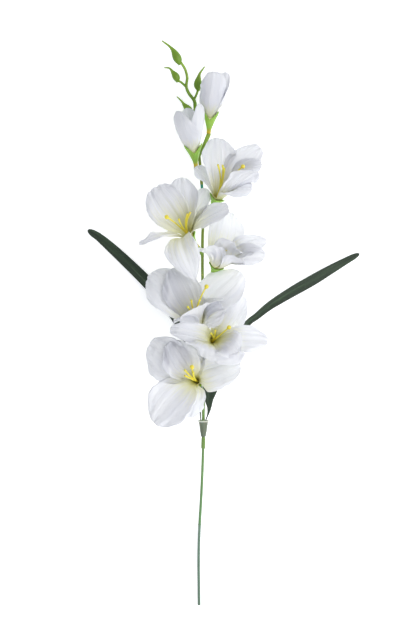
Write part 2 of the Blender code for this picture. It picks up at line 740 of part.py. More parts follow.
def clear_scene():
    """Removes whatever the scene starts with."""
    for old in list(bpy.data.objects):
        bpy.data.objects.remove(old)


def settle(root):
    """Moves every piece so that the origin is under the middle of the spray's footprint."""
    bpy.context.view_layer.update()
    graph = bpy.context.evaluated_depsgraph_get()
    pieces = [thing for thing in bpy.data.objects if thing.type == "MESH"]
    low, high = Vector((9, 9, 9)), Vector((-9, -9, -9))
    for piece in pieces:
        seen = piece.evaluated_get(graph)
        for vert in seen.to_mesh().vertices:
            for axis in range(3):
                low[axis] = min(low[axis], vert.co[axis])
                high[axis] = max(high[axis], vert.co[axis])
        seen.to_mesh_clear()
    shift = Matrix.Translation((-(low.x + high.x) / 2, -(low.y + high.y) / 2, -low.z))
    for piece in pieces:
        piece.data.transform(shift)
        piece.data.update()


def main():
    """Builds every piece of the spray."""
    clear_scene()
    silk = material("white_silk", (0.88, 0.89, 0.91), 0.7)
    stamen = material("yellow_plastic", (0.83, 0.68, 0.05), 0.45)
    moulded = material("bright_green_plastic", (0.24, 0.47, 0.05), 0.45)
    olive = material("olive_green_plastic", (0.21, 0.33, 0.06), 0.5)
    coated = material("grey_green_plastic", (0.16, 0.33, 0.14), 0.5)
    wire = material("steel_wire", (0.55, 0.56, 0.57), 0.35, metallic=1.0)
    blade = material("dark_green_leaf", (0.04, 0.08, 0.05), 0.6)
    grey = material("grey_green_collar", (0.19, 0.25, 0.20), 0.55)
    pale = material("off_white_band", (0.57, 0.58, 0.47), 0.6)

    root = bpy.data.objects.new("gladiolus_spray", None)
    bpy.context.scene.collection.objects.link(root)

    pipe("stem_rod", 0, ROD_TOP, ROD_RADIUS, ROD_BORE, 12, coated, root)
    pipe_core = bmesh.new()
    path = [stem_point(1 + (ROD_TOP - 2) * i / 11) for i in range(12)]
    add_tube(pipe_core, path, [WIRE_RADIUS] * 12, sides=6)
    as_object(pipe_core, "stem_wire", wire, root)

    branches = []
    for bloom, start in zip(BLOOMS + CLOSED, BRANCH_ROOTS + CLOSED_ROOTS):
        branches += branch_piece(bloom, start, olive)
    fused("spike_stem", spine_body(olive), branches, olive, root)

    for number, bloom in enumerate(BLOOMS):
        label = str(number + 1)
        petals("bloom_" + label, bloom, PETALS[number], silk, root)
        stamens("stamens_" + label, bloom, STAMENS[number], stamen, root)
        calyx("calyx_" + label, bloom, moulded, root)
    for number, bloom in enumerate(CLOSED):
        label = str(number + 1)
        petals("bud_" + label, bloom, CLOSED_PETALS[number], silk, root)
        calyx("bud_calyx_" + label, bloom, moulded, root)

    foot = bmesh.new()
    joint = []
    for y, radius in ((SPRIG_FOOT, PIN_BORE), (SPINE_TOP + FIT, PIN_BORE)):
        joint.append((radius, ring_frame(stem_point(y), (stem_point(y + 2) - stem_point(y - 2)).normalized())))
    shaft = smooth_path(
        [(-10.3, SPRIG_FOOT, 29.4), (-11, 707, 30), (-12.5, 716, 31), (-20, 726, 31.5), (-23.6, 736, 32),
         (-22.3, 748, 33), (-25.4, 760, 34), (-31, 769, 34.5)], 12)
    sizes = [2.5, 2.4, 2.2, 2.0, 1.9, 1.8, 1.7, 1.6, 1.5, 1.5, 1.5, 1.5]
    shaft_rings = [(r, ring_frame(p, d)) for p, d, r in zip(shaft, directions(shaft), sizes)]
    stack_rings(foot, list(reversed(joint)) + shaft_rings, STEM_SIDES)
    sprig = as_object(foot, "shaft", moulded)
    fat = [1.5, 4.6, 5.6, 4.9, 3.3, 1.9, 1.4, 1.1, 0.8]
    buds = [
        green_bud([(-32, 766, 34), (-37.4, 777.6, 35), (-42, 786, 36), (-48, 792.4, 36.5), (-57.8, 799.5, 37)],
                  fat, moulded),
        green_bud([(-35.5, 741.5, 33), (-38, 749, 34), (-42.6, 755.5, 35), (-47.4, 761, 35.5), (-54.7, 761.7, 36)],
                  [0.86 * r for r in fat], moulded),
        green_bud([(-6.5, 729, 33), (-7.3, 738, 34), (-6.1, 747.6, 35), (-4.2, 754, 36), (2.5, 763.2, 37)],
                  [0.94 * r for r in fat], moulded),
        green_bud([(-15, 696, 30), (-22.3, 705, 30.5), (-27, 710.5, 31), (-30, 714.7, 31.5), (-37, 721.5, 32)],
                  [0.9 * r for r in fat], moulded),
    ]
    for route in (
        [(-23.5, 735, 32), (-31, 741.5, 32.5), (-36.3, 744, 33.3)],
        [(-12.6, 717, 31), (-8.9, 725, 32), (-6.6, 732, 33.3)],
        [(-11, 704, 30), (-14.5, 700, 30), (-17.5, 699, 30.2)],
    ):
        bm = bmesh.new()
        add_tube(bm, smooth_path(route, 4), [1.4] * 4, sides=6)
        buds.append(as_object(bm, "stalk", moulded))
    fused("bud_sprig", sprig, buds, moulded, root)

    collar(grey, root)
    collar_band(pale, root)
    leaf("leaf_left", LEFT_LEAF, blade, root)
    leaf("leaf_right", RIGHT_LEAF, blade, root)
    settle(root)


main()
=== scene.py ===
# %% [markdown]
# # Dressing an artificial gladiolus spray
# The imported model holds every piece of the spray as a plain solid. This lesson puts fine pieces over
# those solids: petals of pleated silk, moulded green plastic, a coated wire stem and two cloth leaves.
# Lengths in this file are millimetres in the spray's own frame, which starts at the cut end of the stem:
# x goes across, y along the stem, z up from the table. One helper turns them into the model's metres.

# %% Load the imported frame
import math

import bmesh
import bpy
from mathutils import Matrix, Vector, noise


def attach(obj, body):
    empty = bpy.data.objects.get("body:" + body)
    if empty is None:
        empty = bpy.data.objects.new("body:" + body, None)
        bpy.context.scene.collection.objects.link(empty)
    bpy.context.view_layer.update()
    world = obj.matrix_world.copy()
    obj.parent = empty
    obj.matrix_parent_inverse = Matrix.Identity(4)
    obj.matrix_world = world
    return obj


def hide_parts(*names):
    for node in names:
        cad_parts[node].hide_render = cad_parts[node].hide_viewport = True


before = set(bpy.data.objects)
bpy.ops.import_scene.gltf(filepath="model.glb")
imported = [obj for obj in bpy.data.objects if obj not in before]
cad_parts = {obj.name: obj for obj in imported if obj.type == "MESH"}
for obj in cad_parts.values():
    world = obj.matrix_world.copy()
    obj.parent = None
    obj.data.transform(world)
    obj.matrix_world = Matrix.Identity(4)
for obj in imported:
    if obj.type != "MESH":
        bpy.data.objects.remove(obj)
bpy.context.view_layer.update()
print("nodes in the frame:", len(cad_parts))

# %% [markdown]
# ## Colours and nodes
# Colours are picked as sRGB hex values, as a colour picker shows them, and Blender's shaders want linear
# light, so one function converts them. One more function adds a shader node with its settings and links,
# which keeps each recipe below as short as the finish it describes. Two short ones use it for what comes
# back in most recipes: a mix of two colours, and noise drawn out into grains.

# %% Helpers for materials
def linear(hexed):
    """An sRGB colour such as f4f5f7 as linear red, green, blue and alpha."""
    parts = [int(hexed[i : i + 2], 16) / 255 for i in (0, 2, 4)]
    return tuple(c / 12.92 if c <= 0.04045 else ((c + 0.055) / 1.055) ** 2.4 for c in parts) + (1.0,)


def add_node(tree, kind, settings):
    """Adds a node. Lower-case settings are its own, the others are inputs, fed by a value or a socket."""
    made = tree.nodes.new("ShaderNode" + kind)
    for key, value in settings.items():
        if isinstance(key, str) and key.islower():
            setattr(made, key, value)
        elif isinstance(value, bpy.types.NodeSocket):
            tree.links.new(value, made.inputs[key])
        else:
            made.inputs[key].default_value = value
    return made


def new_material(name, roughness, ior=1.5):
    """A Principled material, with its node tree and its shader."""
    made = bpy.data.materials.new(name)
    made.use_nodes = True
    shader = made.node_tree.nodes["Principled BSDF"]
    shader.inputs["Roughness"].default_value = roughness
    shader.inputs["IOR"].default_value = ior
    return made, made.node_tree, shader


def mix_colours(tree, share, first, second):
    """The colour on the way from first to second. Each of them is a hex value or a colour socket."""
    first, second = (linear(c) if isinstance(c, str) else c for c in (first, second))
    return add_node(tree, "Mix", {"data_type": "RGBA", 0: share, 6: first, 7: second}).outputs[2]


def grained_noise(tree, source, scale, detail):
    """Noise with long grains, because source is read at another scale in each direction."""
    drawn_out = add_node(tree, "Mapping", {"Vector": source, "Scale": scale})
    made = add_node(tree, "TexNoise", {"Vector": drawn_out.outputs[0], "Scale": 1.0, "Detail": detail})
    return made.outputs["Fac"]


print("white petal in linear light:", [round(c, 3) for c in linear("f4f5f9")])

# %% [markdown]
# ## Petal silk
# The petals of such a spray are punched from woven polyester and pressed between hot, ribbed moulds. That
# leaves a matt white cloth with fine ribs that fan out from the throat. Dye sprayed into the throat runs
# out along those ribs in yellow green. Each petal carries a map named cloth, u across and v from root to
# rim, so ribs and dye are drawn in that map and follow every bend. The threads lie about 0.2 mm apart,
# too fine to show from 3.5 m, so the weave is drawn at 0.8 mm.

# %% Material of the petals
PETAL_WEAVE = 390.0  # scale of the wave texture, which lays the threads 0.8 mm apart


def pressed_silk():
    made, tree, shader = new_material("woven_polyester_petal", 0.62, 1.45)
    cloth = add_node(tree, "UVMap", {"uv_map": "cloth"}).outputs["UV"]
    along = add_node(tree, "SeparateXYZ", {0: cloth}).outputs["Y"]
    ribs = grained_noise(tree, cloth, (30, 1.7, 1), 3.0)
    clouds = grained_noise(tree, cloth, (5, 1.2, 1), 2.0)
    reach = add_node(tree, "Math", {"operation": "MULTIPLY_ADD", 0: ribs, 1: -0.34, 2: along})
    dye = add_node(tree, "MapRange", {"interpolation_type": "SMOOTHSTEP", "Value": reach.outputs[0],
                                      "From Min": -0.10, "From Max": 0.26, "To Min": 0.85, "To Max": 0.0})
    deep = add_node(tree, "MapRange", {"interpolation_type": "SMOOTHSTEP", "Value": along,
                                       "From Min": 0.02, "From Max": 0.16, "To Min": 0.75, "To Max": 0.0})
    shade = add_node(tree, "MapRange", {"Value": clouds, "From Min": 0.35, "From Max": 0.7,
                                        "To Min": 0.0, "To Max": 0.55})
    white = mix_colours(tree, shade.outputs[0], "f4f5f9", "e0e4ef")
    tinted = mix_colours(tree, dye.outputs[0], white, "eeedac")
    throat = mix_colours(tree, deep.outputs[0], tinted, "dbd648")
    tree.links.new(throat, shader.inputs["Base Color"])
    place = add_node(tree, "TexCoord", {}).outputs["Object"]
    weft, warp = (add_node(tree, "TexWave", {"Vector": place, "Scale": PETAL_WEAVE, "bands_direction": way})
                  for way in "XY")
    weave = add_node(tree, "Math", {"operation": "MULTIPLY", 0: weft.outputs["Fac"],
                                    1: warp.outputs["Fac"]})
    threads = add_node(tree, "Bump", {"Height": weave.outputs[0], "Strength": 0.12, "Distance": 0.0002})
    pressed = add_node(tree, "Bump", {"Height": ribs, "Strength": 0.6, "Distance": 0.0016,
                                      "Normal": threads.outputs[0]})
    tree.links.new(pressed.outputs[0], shader.inputs["Normal"])
    shader.inputs["Sheen Weight"].default_value = 0.15
    shader.inputs["Sheen Roughness"].default_value = 0.5
    shader.inputs["Subsurface Weight"].default_value = 0.5
    shader.inputs["Subsurface Radius"].default_value = (1.0, 1.0, 0.95)
    shader.inputs["Subsurface Scale"].default_value = 0.004
    return made


petal_cloth = pressed_silk()
print("petal cloth:", len(petal_cloth.node_tree.nodes), "nodes")

# %% [markdown]
# ## Moulded plastics
# Stamens, calyxes, branches, sleeve and green buds are soft polyethylene, injection moulded. It has a
# waxy, half matt skin, a little light goes into it, and its colour is never quite even. One recipe serves
# all of them: a start colour, an end colour, and the map named cloth, whose v runs along the piece.

# %% Material of the moulded pieces
WOBBLE = 0.12  # how far the mottling shifts the change of colour along a piece
GRIT = 1000 / 0.6  # scale of noise with grains of 0.6 mm


def moulded(name, start, end, turn_at, roughness=0.42):
    """Polyethylene that changes colour along the piece, between the two shares in turn_at."""
    made, tree, shader = new_material(name, roughness, 1.51)
    place = add_node(tree, "TexCoord", {}).outputs["Object"]
    along = add_node(tree, "SeparateXYZ", {0: add_node(tree, "UVMap", {"uv_map": "cloth"}).outputs["UV"]})
    mottle = add_node(tree, "TexNoise", {"Vector": place, "Scale": 90.0, "Detail": 4.0})
    grit = add_node(tree, "TexNoise", {"Vector": place, "Scale": GRIT, "Detail": 2.0})
    wobbly = add_node(tree, "Math", {"operation": "MULTIPLY_ADD", 0: mottle.outputs["Fac"], 1: WOBBLE,
                                     2: along.outputs["Y"]})
    share = add_node(tree, "MapRange", {"interpolation_type": "SMOOTHSTEP", "Value": wobbly.outputs[0],
                                        "From Min": turn_at[0] + WOBBLE / 2,
                                        "From Max": turn_at[1] + WOBBLE / 2})
    colour = mix_colours(tree, share.outputs[0], start, end)
    uneven = add_node(tree, "MapRange", {"Value": mottle.outputs["Fac"], "From Min": 0.3, "From Max": 0.7,
                                         "To Min": 0.86, "To Max": 1.1})
    toned = add_node(tree, "HueSaturation", {"Color": colour, "Value": uneven.outputs[0]})
    tree.links.new(toned.outputs[0], shader.inputs["Base Color"])
    dull = add_node(tree, "MapRange", {"Value": grit.outputs["Fac"], "To Min": roughness - 0.07,
                                       "To Max": roughness + 0.09})
    tree.links.new(dull.outputs[0], shader.inputs["Roughness"])
    skin = add_node(tree, "Bump", {"Height": grit.outputs["Fac"], "Strength": 0.25, "Distance": 0.0001})
    tree.links.new(skin.outputs[0], shader.inputs["Normal"])
    shader.inputs["Subsurface Weight"].default_value = 0.12
    shader.inputs["Subsurface Scale"].default_value = 0.002
    return made


stamen_plastic = moulded("moulded_yellow_polyethylene", "f6e038", "fcee58", (0.1, 0.5), 0.4)
calyx_plastic = moulded("moulded_green_polyethylene", "d2bc36", "96c446", (0.10, 0.26))
sprig_plastic = moulded("moulded_bud_polyethylene", "7aa228", "9cbe48", (0.3, 0.95))
branch_plastic = moulded("moulded_branch_polyethylene", "7c9e34", "92b23a", (0.2, 0.9))
sleeve_plastic = moulded("moulded_sleeve_polyethylene", "7b846e", "68735f", (0.1, 0.9), 0.5)
ring_plastic = moulded("pale_ring_polyethylene", "c9ccba", "d6d8ca", (0.1, 0.9), 0.5)
print("moulded plastics made")

# %% [markdown]
# ## Stem coatings
# The stem is wire in plastic, coated more than once: the lowest 115 mm are greyer, and above the sleeve
# it is olive. Where the top coat ends short of a joint, the teal tube beneath it shows. These changes sit
# at fixed distances from the cut end, so the recipe reads the distance from Object coordinates.

# %% Units, and the middle of the spray
MM = 0.001  # metres in a millimetre
UP = Vector((0, 0, 1))
MIDDLE = Vector((28.128, 400.045, 0.0))  # the model's origin, in the spray's own frame
print("the spray's middle lies", MIDDLE.y, "mm from the cut end")

# %% Materials of the stem
RAMP_PER_METRE = 1.25  # the colour ramp covers the 0.8 m of the stem
PATCH_EDGE = 0.4  # mm over which a patch fades


def dipped(name, bands, patches=()):
    """Plastic-dipped wire. bands are (y in mm, colour), patches are (y, half length, colour)."""
    made, tree, shader = new_material(name, 0.45)
    place = add_node(tree, "TexCoord", {}).outputs["Object"]
    spot = add_node(tree, "SeparateXYZ", {0: place}).outputs["Y"]
    distance = add_node(tree, "Math", {"operation": "MULTIPLY_ADD", 0: spot, 1: RAMP_PER_METRE, 2: 0.5})
    ramp = add_node(tree, "ValToRGB", {0: distance.outputs[0]})
    steps = ramp.color_ramp.elements
    for number, (y, colour) in enumerate(bands):
        stop = steps[number] if number < 2 else steps.new(1.0)
        stop.position = (y - MIDDLE.y) * MM * RAMP_PER_METRE + 0.5
        stop.color = linear(colour)
    colour = ramp.outputs[0]
    for y, reach, patch in patches:
        off = add_node(tree, "Math", {"operation": "SUBTRACT", 0: spot, 1: (y - MIDDLE.y) * MM})
        away = add_node(tree, "Math", {"operation": "ABSOLUTE", 0: off.outputs[0]})
        inside = add_node(tree, "MapRange", {"Value": away.outputs[0], "To Min": 1.0, "To Max": 0.0,
                                             "From Min": (reach - PATCH_EDGE) * MM,
                                             "From Max": (reach + PATCH_EDGE) * MM})
        colour = mix_colours(tree, inside.outputs[0], colour, patch)
    runs = grained_noise(tree, place, (700, 60, 700), 3.0)
    uneven = add_node(tree, "MapRange", {"Value": runs, "From Min": 0.3, "From Max": 0.7,
                                         "To Min": 0.82, "To Max": 1.12})
    toned = add_node(tree, "HueSaturation", {"Color": colour, "Value": uneven.outputs[0]})
    tree.links.new(toned.outputs[0], shader.inputs["Base Color"])
    drawn = add_node(tree, "Bump", {"Height": runs, "Strength": 0.3, "Distance": 0.0002})
    tree.links.new(drawn.outputs[0], shader.inputs["Normal"])
    return made


rod_coating = dipped("plastic_dipped_rod",
                     [(0, "6f8a74"), (112, "74907c"), (118, "6c9a62"), (210, "7ba062")])
spine_coating = dipped("plastic_dipped_stem",
                       [(210, "7c9c52"), (300, "749a4e"), (420, "7f9a45"), (560, "86983e")],
                       [(563.3, 4.5, "3f9f80"), (594.0, 3.5, "3c9a7c"), (548, 1.2, "a9b04c"),
                        (470, 1.0, "a0ac50")])
print("stem coatings made")

# %% [markdown]
# ## Drawn steel and leaf cloth
# The core of the rod is plain steel wire, bright only at its cut end. The leaves are polyester cloth
# stiffened with resin, printed dark green, and pressed with long parallel veins as on a sword leaf. The
# real veins are about 0.8 mm apart, and one in a few stands out.

# %% Materials of the wire and the leaves
def drawn_steel():
    made, tree, shader = new_material("drawn_steel_wire", 0.38)
    shader.inputs["Metallic"].default_value = 1.0
    place = add_node(tree, "TexCoord", {}).outputs["Object"]
    fine = add_node(tree, "TexNoise", {"Vector": place, "Scale": 1800.0, "Detail": 3.0})
    tone = mix_colours(tree, fine.outputs["Fac"], "8d8f91", "b4b6b8")
    tree.links.new(tone, shader.inputs["Base Color"])
    return made


def leaf_cloth():
    made, tree, shader = new_material("resin_stiffened_leaf_cloth", 0.5)
    cloth = add_node(tree, "UVMap", {"uv_map": "cloth"}).outputs["UV"]
    veins = grained_noise(tree, cloth, (22, 2.5, 1), 4.0)
    # painted sheen: paler green patches stand in for the gloss of the leaf cloth
    sheen_patches = grained_noise(tree, cloth, (3.0, 5.0, 1), 3.0)
    lit = add_node(tree, "MapRange", {"Value": veins, "From Min": 0.35, "From Max": 0.72})
    green = mix_colours(tree, lit.outputs[0], "1b291b", "2f452c")
    pale = add_node(tree, "MapRange", {"Value": sheen_patches, "From Min": 0.45, "From Max": 0.75,
                                       "To Min": 0.0, "To Max": 0.5})
    green_with_painted_sheen = mix_colours(tree, pale.outputs[0], green, "4c6846")
    tree.links.new(green_with_painted_sheen, shader.inputs["Base Color"])
    relief = add_node(tree, "Bump", {"Height": veins, "Strength": 0.6, "Distance": 0.0008})
    tree.links.new(relief.outputs[0], shader.inputs["Normal"])
    shader.inputs["Sheen Weight"].default_value = 0.1
    return made


steel = drawn_steel()
leaf_green = leaf_cloth()
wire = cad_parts["stem_wire"]
wire.data.materials.clear()
wire.data.materials.append(steel)
print("wire keeps its solid, now in", steel.name)

# %% [markdown]
# ## From a sheet to a piece
# Nearly everything here is a sheet: a petal is a bent sheet, and a stem is a sheet rolled until its
# edges meet. So each piece starts as a flat grid, and a formula says where each of its points goes. The
# grid's own map stays on it, which is what the materials read.

# %% Rolling a grid and finishing a piece
WELD = 0.002  # mm within which points are joined


def start_mesh():
    """An empty mesh with the map that the materials read."""
    bm = bmesh.new()
    bm.loops.layers.uv.new("cloth")
    return bm


def bend_sheet(bm, across, along, place):
    """A flat grid whose points go where place(u, v) says. u is -1 to 1 across, v is 0 to 1 along."""
    made = bmesh.ops.create_grid(bm, x_segments=across, y_segments=along, size=1.0, calc_uvs=True)["verts"]
    for vert in made:
        vert.co = place(vert.co.x, (vert.co.y + 1) / 2)


def roll_sheet(bm, around, along, place):
    """A grid rolled until its sides meet. place(turn, share) gives each point, both from 0 to 1."""
    made = bmesh.ops.create_grid(bm, x_segments=around, y_segments=along, size=1.0, calc_uvs=True)["verts"]
    for vert in made:
        vert.co = place((vert.co.x + 1) / 2, (vert.co.y + 1) / 2)
    bmesh.ops.remove_doubles(bm, verts=made, dist=WELD)


def finish_piece(bm, name, finish, node, thickness=0.0, replace=True):
    """Moves a mesh from millimetres on the spray to the model's metres, and seats it in the frame."""
    bmesh.ops.recalc_face_normals(bm, faces=bm.faces)
    bmesh.ops.translate(bm, vec=-MIDDLE, verts=bm.verts)
    bmesh.ops.scale(bm, vec=(MM, MM, MM), verts=bm.verts)
    mesh = bpy.data.meshes.new(name)
    bm.to_mesh(mesh)
    bm.free()
    mesh.materials.append(finish)
    mesh.shade_smooth()
    piece = bpy.data.objects.new(name, mesh)
    bpy.context.scene.collection.objects.link(piece)
    if thickness:
        wall = piece.modifiers.new("cloth_thickness", "SOLIDIFY")
        wall.thickness = thickness * MM
        wall.offset = 0
    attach(piece, "root")
    if replace:
        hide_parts(node)
    return piece


# %% Curves through a few points
def ease(low, high, x):
    """0 below low, 1 above high, and a smooth step between them."""
    t = min(max((x - low) / (high - low), 0), 1)
    return t * t * (3 - 2 * t)


def smooth_path(points, count):
    """count evenly spaced points on a smooth curve through the given ones."""
    points = [Vector(p) for p in points]
    ends = [2 * points[0] - points[1]] + points + [2 * points[-1] - points[-2]]
    fine, steps = [], 16
    for a, b, c, d in zip(ends, ends[1:], ends[2:], ends[3:]):
        for i in range(steps):
            t = i / steps
            fine.append(0.5 * (2 * b + (c - a) * t + (2 * a - 5 * b + 4 * c - d) * t**2
                               + (3 * b - a - 3 * c + d) * t**3))
    fine.append(points[-1])
    reached = [0.0]
    for a, b in zip(fine, fine[1:]):
        reached.append(reached[-1] + (b - a).length)
    even, k = [], 0
    for i in range(count):
        goal = reached[-1] * i / (count - 1)
        while k < len(fine) - 2 and reached[k + 1] < goal:
            k += 1
        share = (goal - reached[k]) / max(reached[k + 1] - reached[k], 1e-9)
        even.append(fine[k].lerp(fine[k + 1], min(max(share, 0), 1)))
    return even


def read_list(values, share):
    """Reads a list of numbers at a share of its length, with straight lines between them."""
    spot = min(max(share, 0), 1) * (len(values) - 1)
    k = min(int(spot), len(values) - 2)
    return values[k] + (values[k + 1] - values[k]) * (spot - k)


def sweep(bm, path, radii, around=18, swell=None):
    """A round rod along a path, closed at both ends. swell(turn, share) is how many mm thicker it is."""
    last = len(path) - 1
    heading = [(path[min(i + 1, last)] - path[max(i - 1, 0)]).normalized() for i in range(last + 1)]
    side = heading[0].orthogonal().normalized()
    sides = []
    for along in heading:
        side = (side - along * side.dot(along)).normalized()
        sides.append((side.copy(), along.cross(side)))

    def place(turn, share):
        row = round(share * (last + 2))
        k = min(max(row - 1, 0), last)
        closed = row in (0, last + 2)
        radius = 0 if closed else read_list(radii, k / last) + (swell(turn, k / last) if swell else 0)
        angle = math.tau * turn
        return path[k] + (sides[k][0] * math.cos(angle) + sides[k][1] * math.sin(angle)) * radius

    roll_sheet(bm, around, last + 2, place)


print("half way along a step:", ease(0, 1, 0.5))

# %% [markdown]
# ## The stem's own line
# The stem is bent by hand: flat on the table at its cut end, then rising to the height of the blooms.
# Everything else hangs on this line, so it is the same short table of places as in the solids.

# %% Places along the stem
REST = 1.755  # height of the rod's middle where it lies on the table
STEM_ROUTE = [
    (-5.6, 0, REST), (-5.9, 25, REST), (-6.2, 70, 3.6), (-5.0, 112, 6.8), (-2.6, 155, 10.6),
    (-0.6, 200, 14.6), (0.5, 240, 17.8), (0.6, 285, 21.0), (1.6, 330, 24.0), (3.4, 360, 25.5),
    (0.8, 420, 26), (-0.7, 470, 26), (-0.7, 520, 26), (0.4, 560, 26), (-2.0, 600, 27),
    (-5.5, 640, 28), (-8.6, 675, 29), (-11.4, 705, 30),
]


def stem_point(y):
    """The middle of the stem at distance y from its cut end."""
    last = len(STEM_ROUTE) - 1
    k = max(i for i in range(last) if i == 0 or STEM_ROUTE[i][1] <= y)
    p = [Vector(STEM_ROUTE[min(max(i, 0), last)]) for i in (k - 1, k, k + 1, k + 2)]
    span = p[2].y - p[1].y
    t = (y - p[1].y) / span
    before = (p[2] - p[0]) * (span / max(p[2].y - p[0].y, 1e-6))
    after = (p[3] - p[1]) * (span / max(p[3].y - p[1].y, 1e-6))
    spot = (p[1] * (2 * t**3 - 3 * t**2 + 1) + before * (t**3 - 2 * t**2 + t)
            + p[2] * (3 * t**2 - 2 * t**3) + after * (t**3 - t**2))
    return Vector((spot.x, y, max(spot.z, REST)))


def stem_stretch(low, high, count):
    """Points along the stem from one distance to another."""
    return [stem_point(low + (high - low) * i / (count - 1)) for i in range(count)]


print("height of the stem at 420 mm:", round(stem_point(420).z, 1), "mm")

# %% [markdown]
# ## Petals
# A petal is a strip of cloth on a curved spine. It leaves the throat along the bloom's axis, then leans
# out to its tip. It is hollowed across like a spoon, and its rim ruffles. The pressed folds come on top:
# broad pleats that fan out from the throat, and a restless rim. The folds come from smooth noise read
# in the petal's own map with a fixed seed, so they are the same each time.

# %% One petal
ROOT_HEIGHT, OUTER_ROOT, INNER_ROOT = 11.0, 4.6, 3.7  # where petals leave the funnel, and its radius there
ROOT_WRAP = math.radians(42)  # half of how far a petal's root reaches round the funnel
PLEAT = 1.3  # usual depth of the pleats
CORNERS = 0.76  # share of a petal's length from which its corners are rounded


class Bloom:
    """Where one bloom sits: its node on the stem and the way it faces."""

    def __init__(self, node, faces, sepals=20.0, spread=0.68):
        self.node = Vector(node)
        self.axis = Vector(faces).normalized()
        self.sepals = sepals
        self.spread = spread
        under = (self.axis * self.axis.z - UP).normalized()
        self.turn = Matrix((under.cross(self.axis), under, self.axis)).transposed()

    def at(self, turn, radius, height):
        """The point at an angle and a radius round the bloom's axis, and at a height along it."""
        angle = math.tau * turn
        return self.node + self.turn @ Vector((-math.sin(angle) * radius, math.cos(angle) * radius, height))


class Petal:
    """One petal. tip is from the bloom's node, angles are in degrees from the bloom's axis.

    cup hollows the middle and cup_tip the end, below 0 it curls back. pleat is the depth of its folds.
    """

    def __init__(self, tip, width, tip_lean=100, cup=25, cup_tip=5, twist=0, wave=2.0, waves=1.5,
                 phase=0.0, inner=True, full=0.62, reach=(0.38, 0.36), blunt=0.17, taper=0.35, flare=None,
                 pleat=PLEAT, pleats=2.2, corner=0.72):
        self.tip = Vector(tip)
        self.width = width
        self.tip_lean = math.radians(tip_lean)
        self.cup = math.radians(cup)
        self.cup_tip = math.radians(cup_tip)
        self.twist = math.radians(twist)
        self.wave, self.waves, self.phase = wave, waves, phase
        self.inner, self.full, self.reach = inner, full, reach
        self.blunt, self.taper = blunt, taper
        self.flare = math.radians(flare if flare is not None else 15 if inner else 21)
        self.pleat, self.pleats, self.corner = pleat, pleats, corner

    def lay(self, bloom, seed):
        """Works out the spine for a bloom."""
        self.axis, self.node, self.seed = bloom.axis, bloom.node, seed
        out = (self.tip - self.axis * self.tip.dot(self.axis)).normalized()
        self.across = self.axis.cross(out)
        root_radius = INNER_ROOT if self.inner else OUTER_ROOT
        self.root_width = root_radius * ROOT_WRAP
        start = self.axis * ROOT_HEIGHT + out * root_radius
        length = (self.tip - start).length
        leaving = self.axis * math.cos(self.flare) + out * math.sin(self.flare)
        arriving = self.axis * math.cos(self.tip_lean) + out * math.sin(self.tip_lean)
        self.handles = (start, start + leaving * length * self.reach[0],
                        self.tip - arriving * length * self.reach[1], self.tip)

    def spine(self, s):
        """Place, direction of travel and sideways direction at share s of the spine."""
        a, b, c, d = self.handles
        r = 1 - s
        place = a * r**3 + b * (3 * r * r * s) + c * (3 * r * s * s) + d * s**3
        along = ((b - a) * (r * r) + (c - b) * (2 * r * s) + (d - c) * (s * s)).normalized()
        return place, along, Matrix.Rotation(self.twist * ease(0.2, 1, s), 3, along) @ self.across

    def half_width(self, s, place):
        """Half the measure across at s, held narrow where the petals share the throat."""
        rise = math.sin(min(s / self.full, 1) * math.pi / 2)
        fall = 1 - self.taper * max((s - self.full) / (1 - self.full), 0) ** 2
        free = self.root_width + (self.width / 2 - self.root_width) * rise * fall
        from_axis = (place - self.axis * place.dot(self.axis)).length
        room = from_axis * (1.0 + 1.5 * ease(0.12, 0.4, s))
        return min(free, max(room, self.root_width))

    def folds(self, u, v):
        """Height of the pressed folds: broad pleats, finer ribs and the rim."""
        read = lambda x, y, z: noise.noise(Vector((x, y, self.seed + z)))
        broad = read(u * self.pleats, v * 0.8, 0.0) * 1.8
        ribs = read(u * 7.0, v * 1.1, 7.3)
        crease = 1 - 2.4 * abs(read(u * 4.2, v * 0.9, 12.0))
        edge = max(abs(u) ** 2.5, ease(0.8, 1.0, v))
        frill = read(u * 4.5, v * 7.0, 3.1)
        calm = min(self.pleat / PLEAT, 1)
        pleats = self.pleat * (broad + 0.7 * crease) * ease(0.12, 0.5, v)
        pressed = 0.8 * calm * ribs * ease(0.06, 0.3, v)
        restless = 2.8 * calm * frill * edge * ease(0.3, 0.6, v)
        curl = 0.9 * edge**2 * ease(0.4, 0.8, v)
        return pleats + pressed + restless - curl

    def point(self, u, v):
        """The sheet at u across, from -1 to 1, and v along, from 0 to 1. Its far corners are rounded."""
        t = max((v - CORNERS) / (1 - CORNERS), 0)
        u *= math.sqrt(1 - self.corner * t * t)
        s = v * (1 - self.blunt * abs(u) ** 2.2)
        place, along, across = self.spine(s)
        rim = 1 + 0.06 * noise.noise(Vector((v * 11.0, u, self.seed + 20.0))) * ease(0.3, 0.6, v)
        half = self.half_width(s, place) * rim
        inward = along.cross(across)
        bend = ROOT_WRAP + (self.cup - ROOT_WRAP) * ease(0, 0.4, s)
        bend += (self.cup_tip - self.cup) * ease(0.5, 1, s)
        bend = bend if abs(bend) > 1e-3 else 1e-3
        radius = half / bend
        raised = radius * (1 - math.cos(u * bend))
        ruffle = math.sin(math.tau * self.waves * v + self.phase + (1.9 if u > 0 else 0))
        raised += self.wave * abs(u) ** 1.6 * ruffle * ease(0.3, 0.75, v)
        sideways = radius * math.sin(u * bend)
        return self.node + place + across * sideways + inward * (raised + self.folds(u, v))


print("a petal's root is", round(2 * INNER_ROOT * ROOT_WRAP, 1), "mm wide")

# %% [markdown]
# ## The six open blooms
# Each bloom has three outer and three inner petals on a white funnel that is pushed into the calyx. The
# places of the petal tips were read from the photograph, and the heights were judged from overlaps.

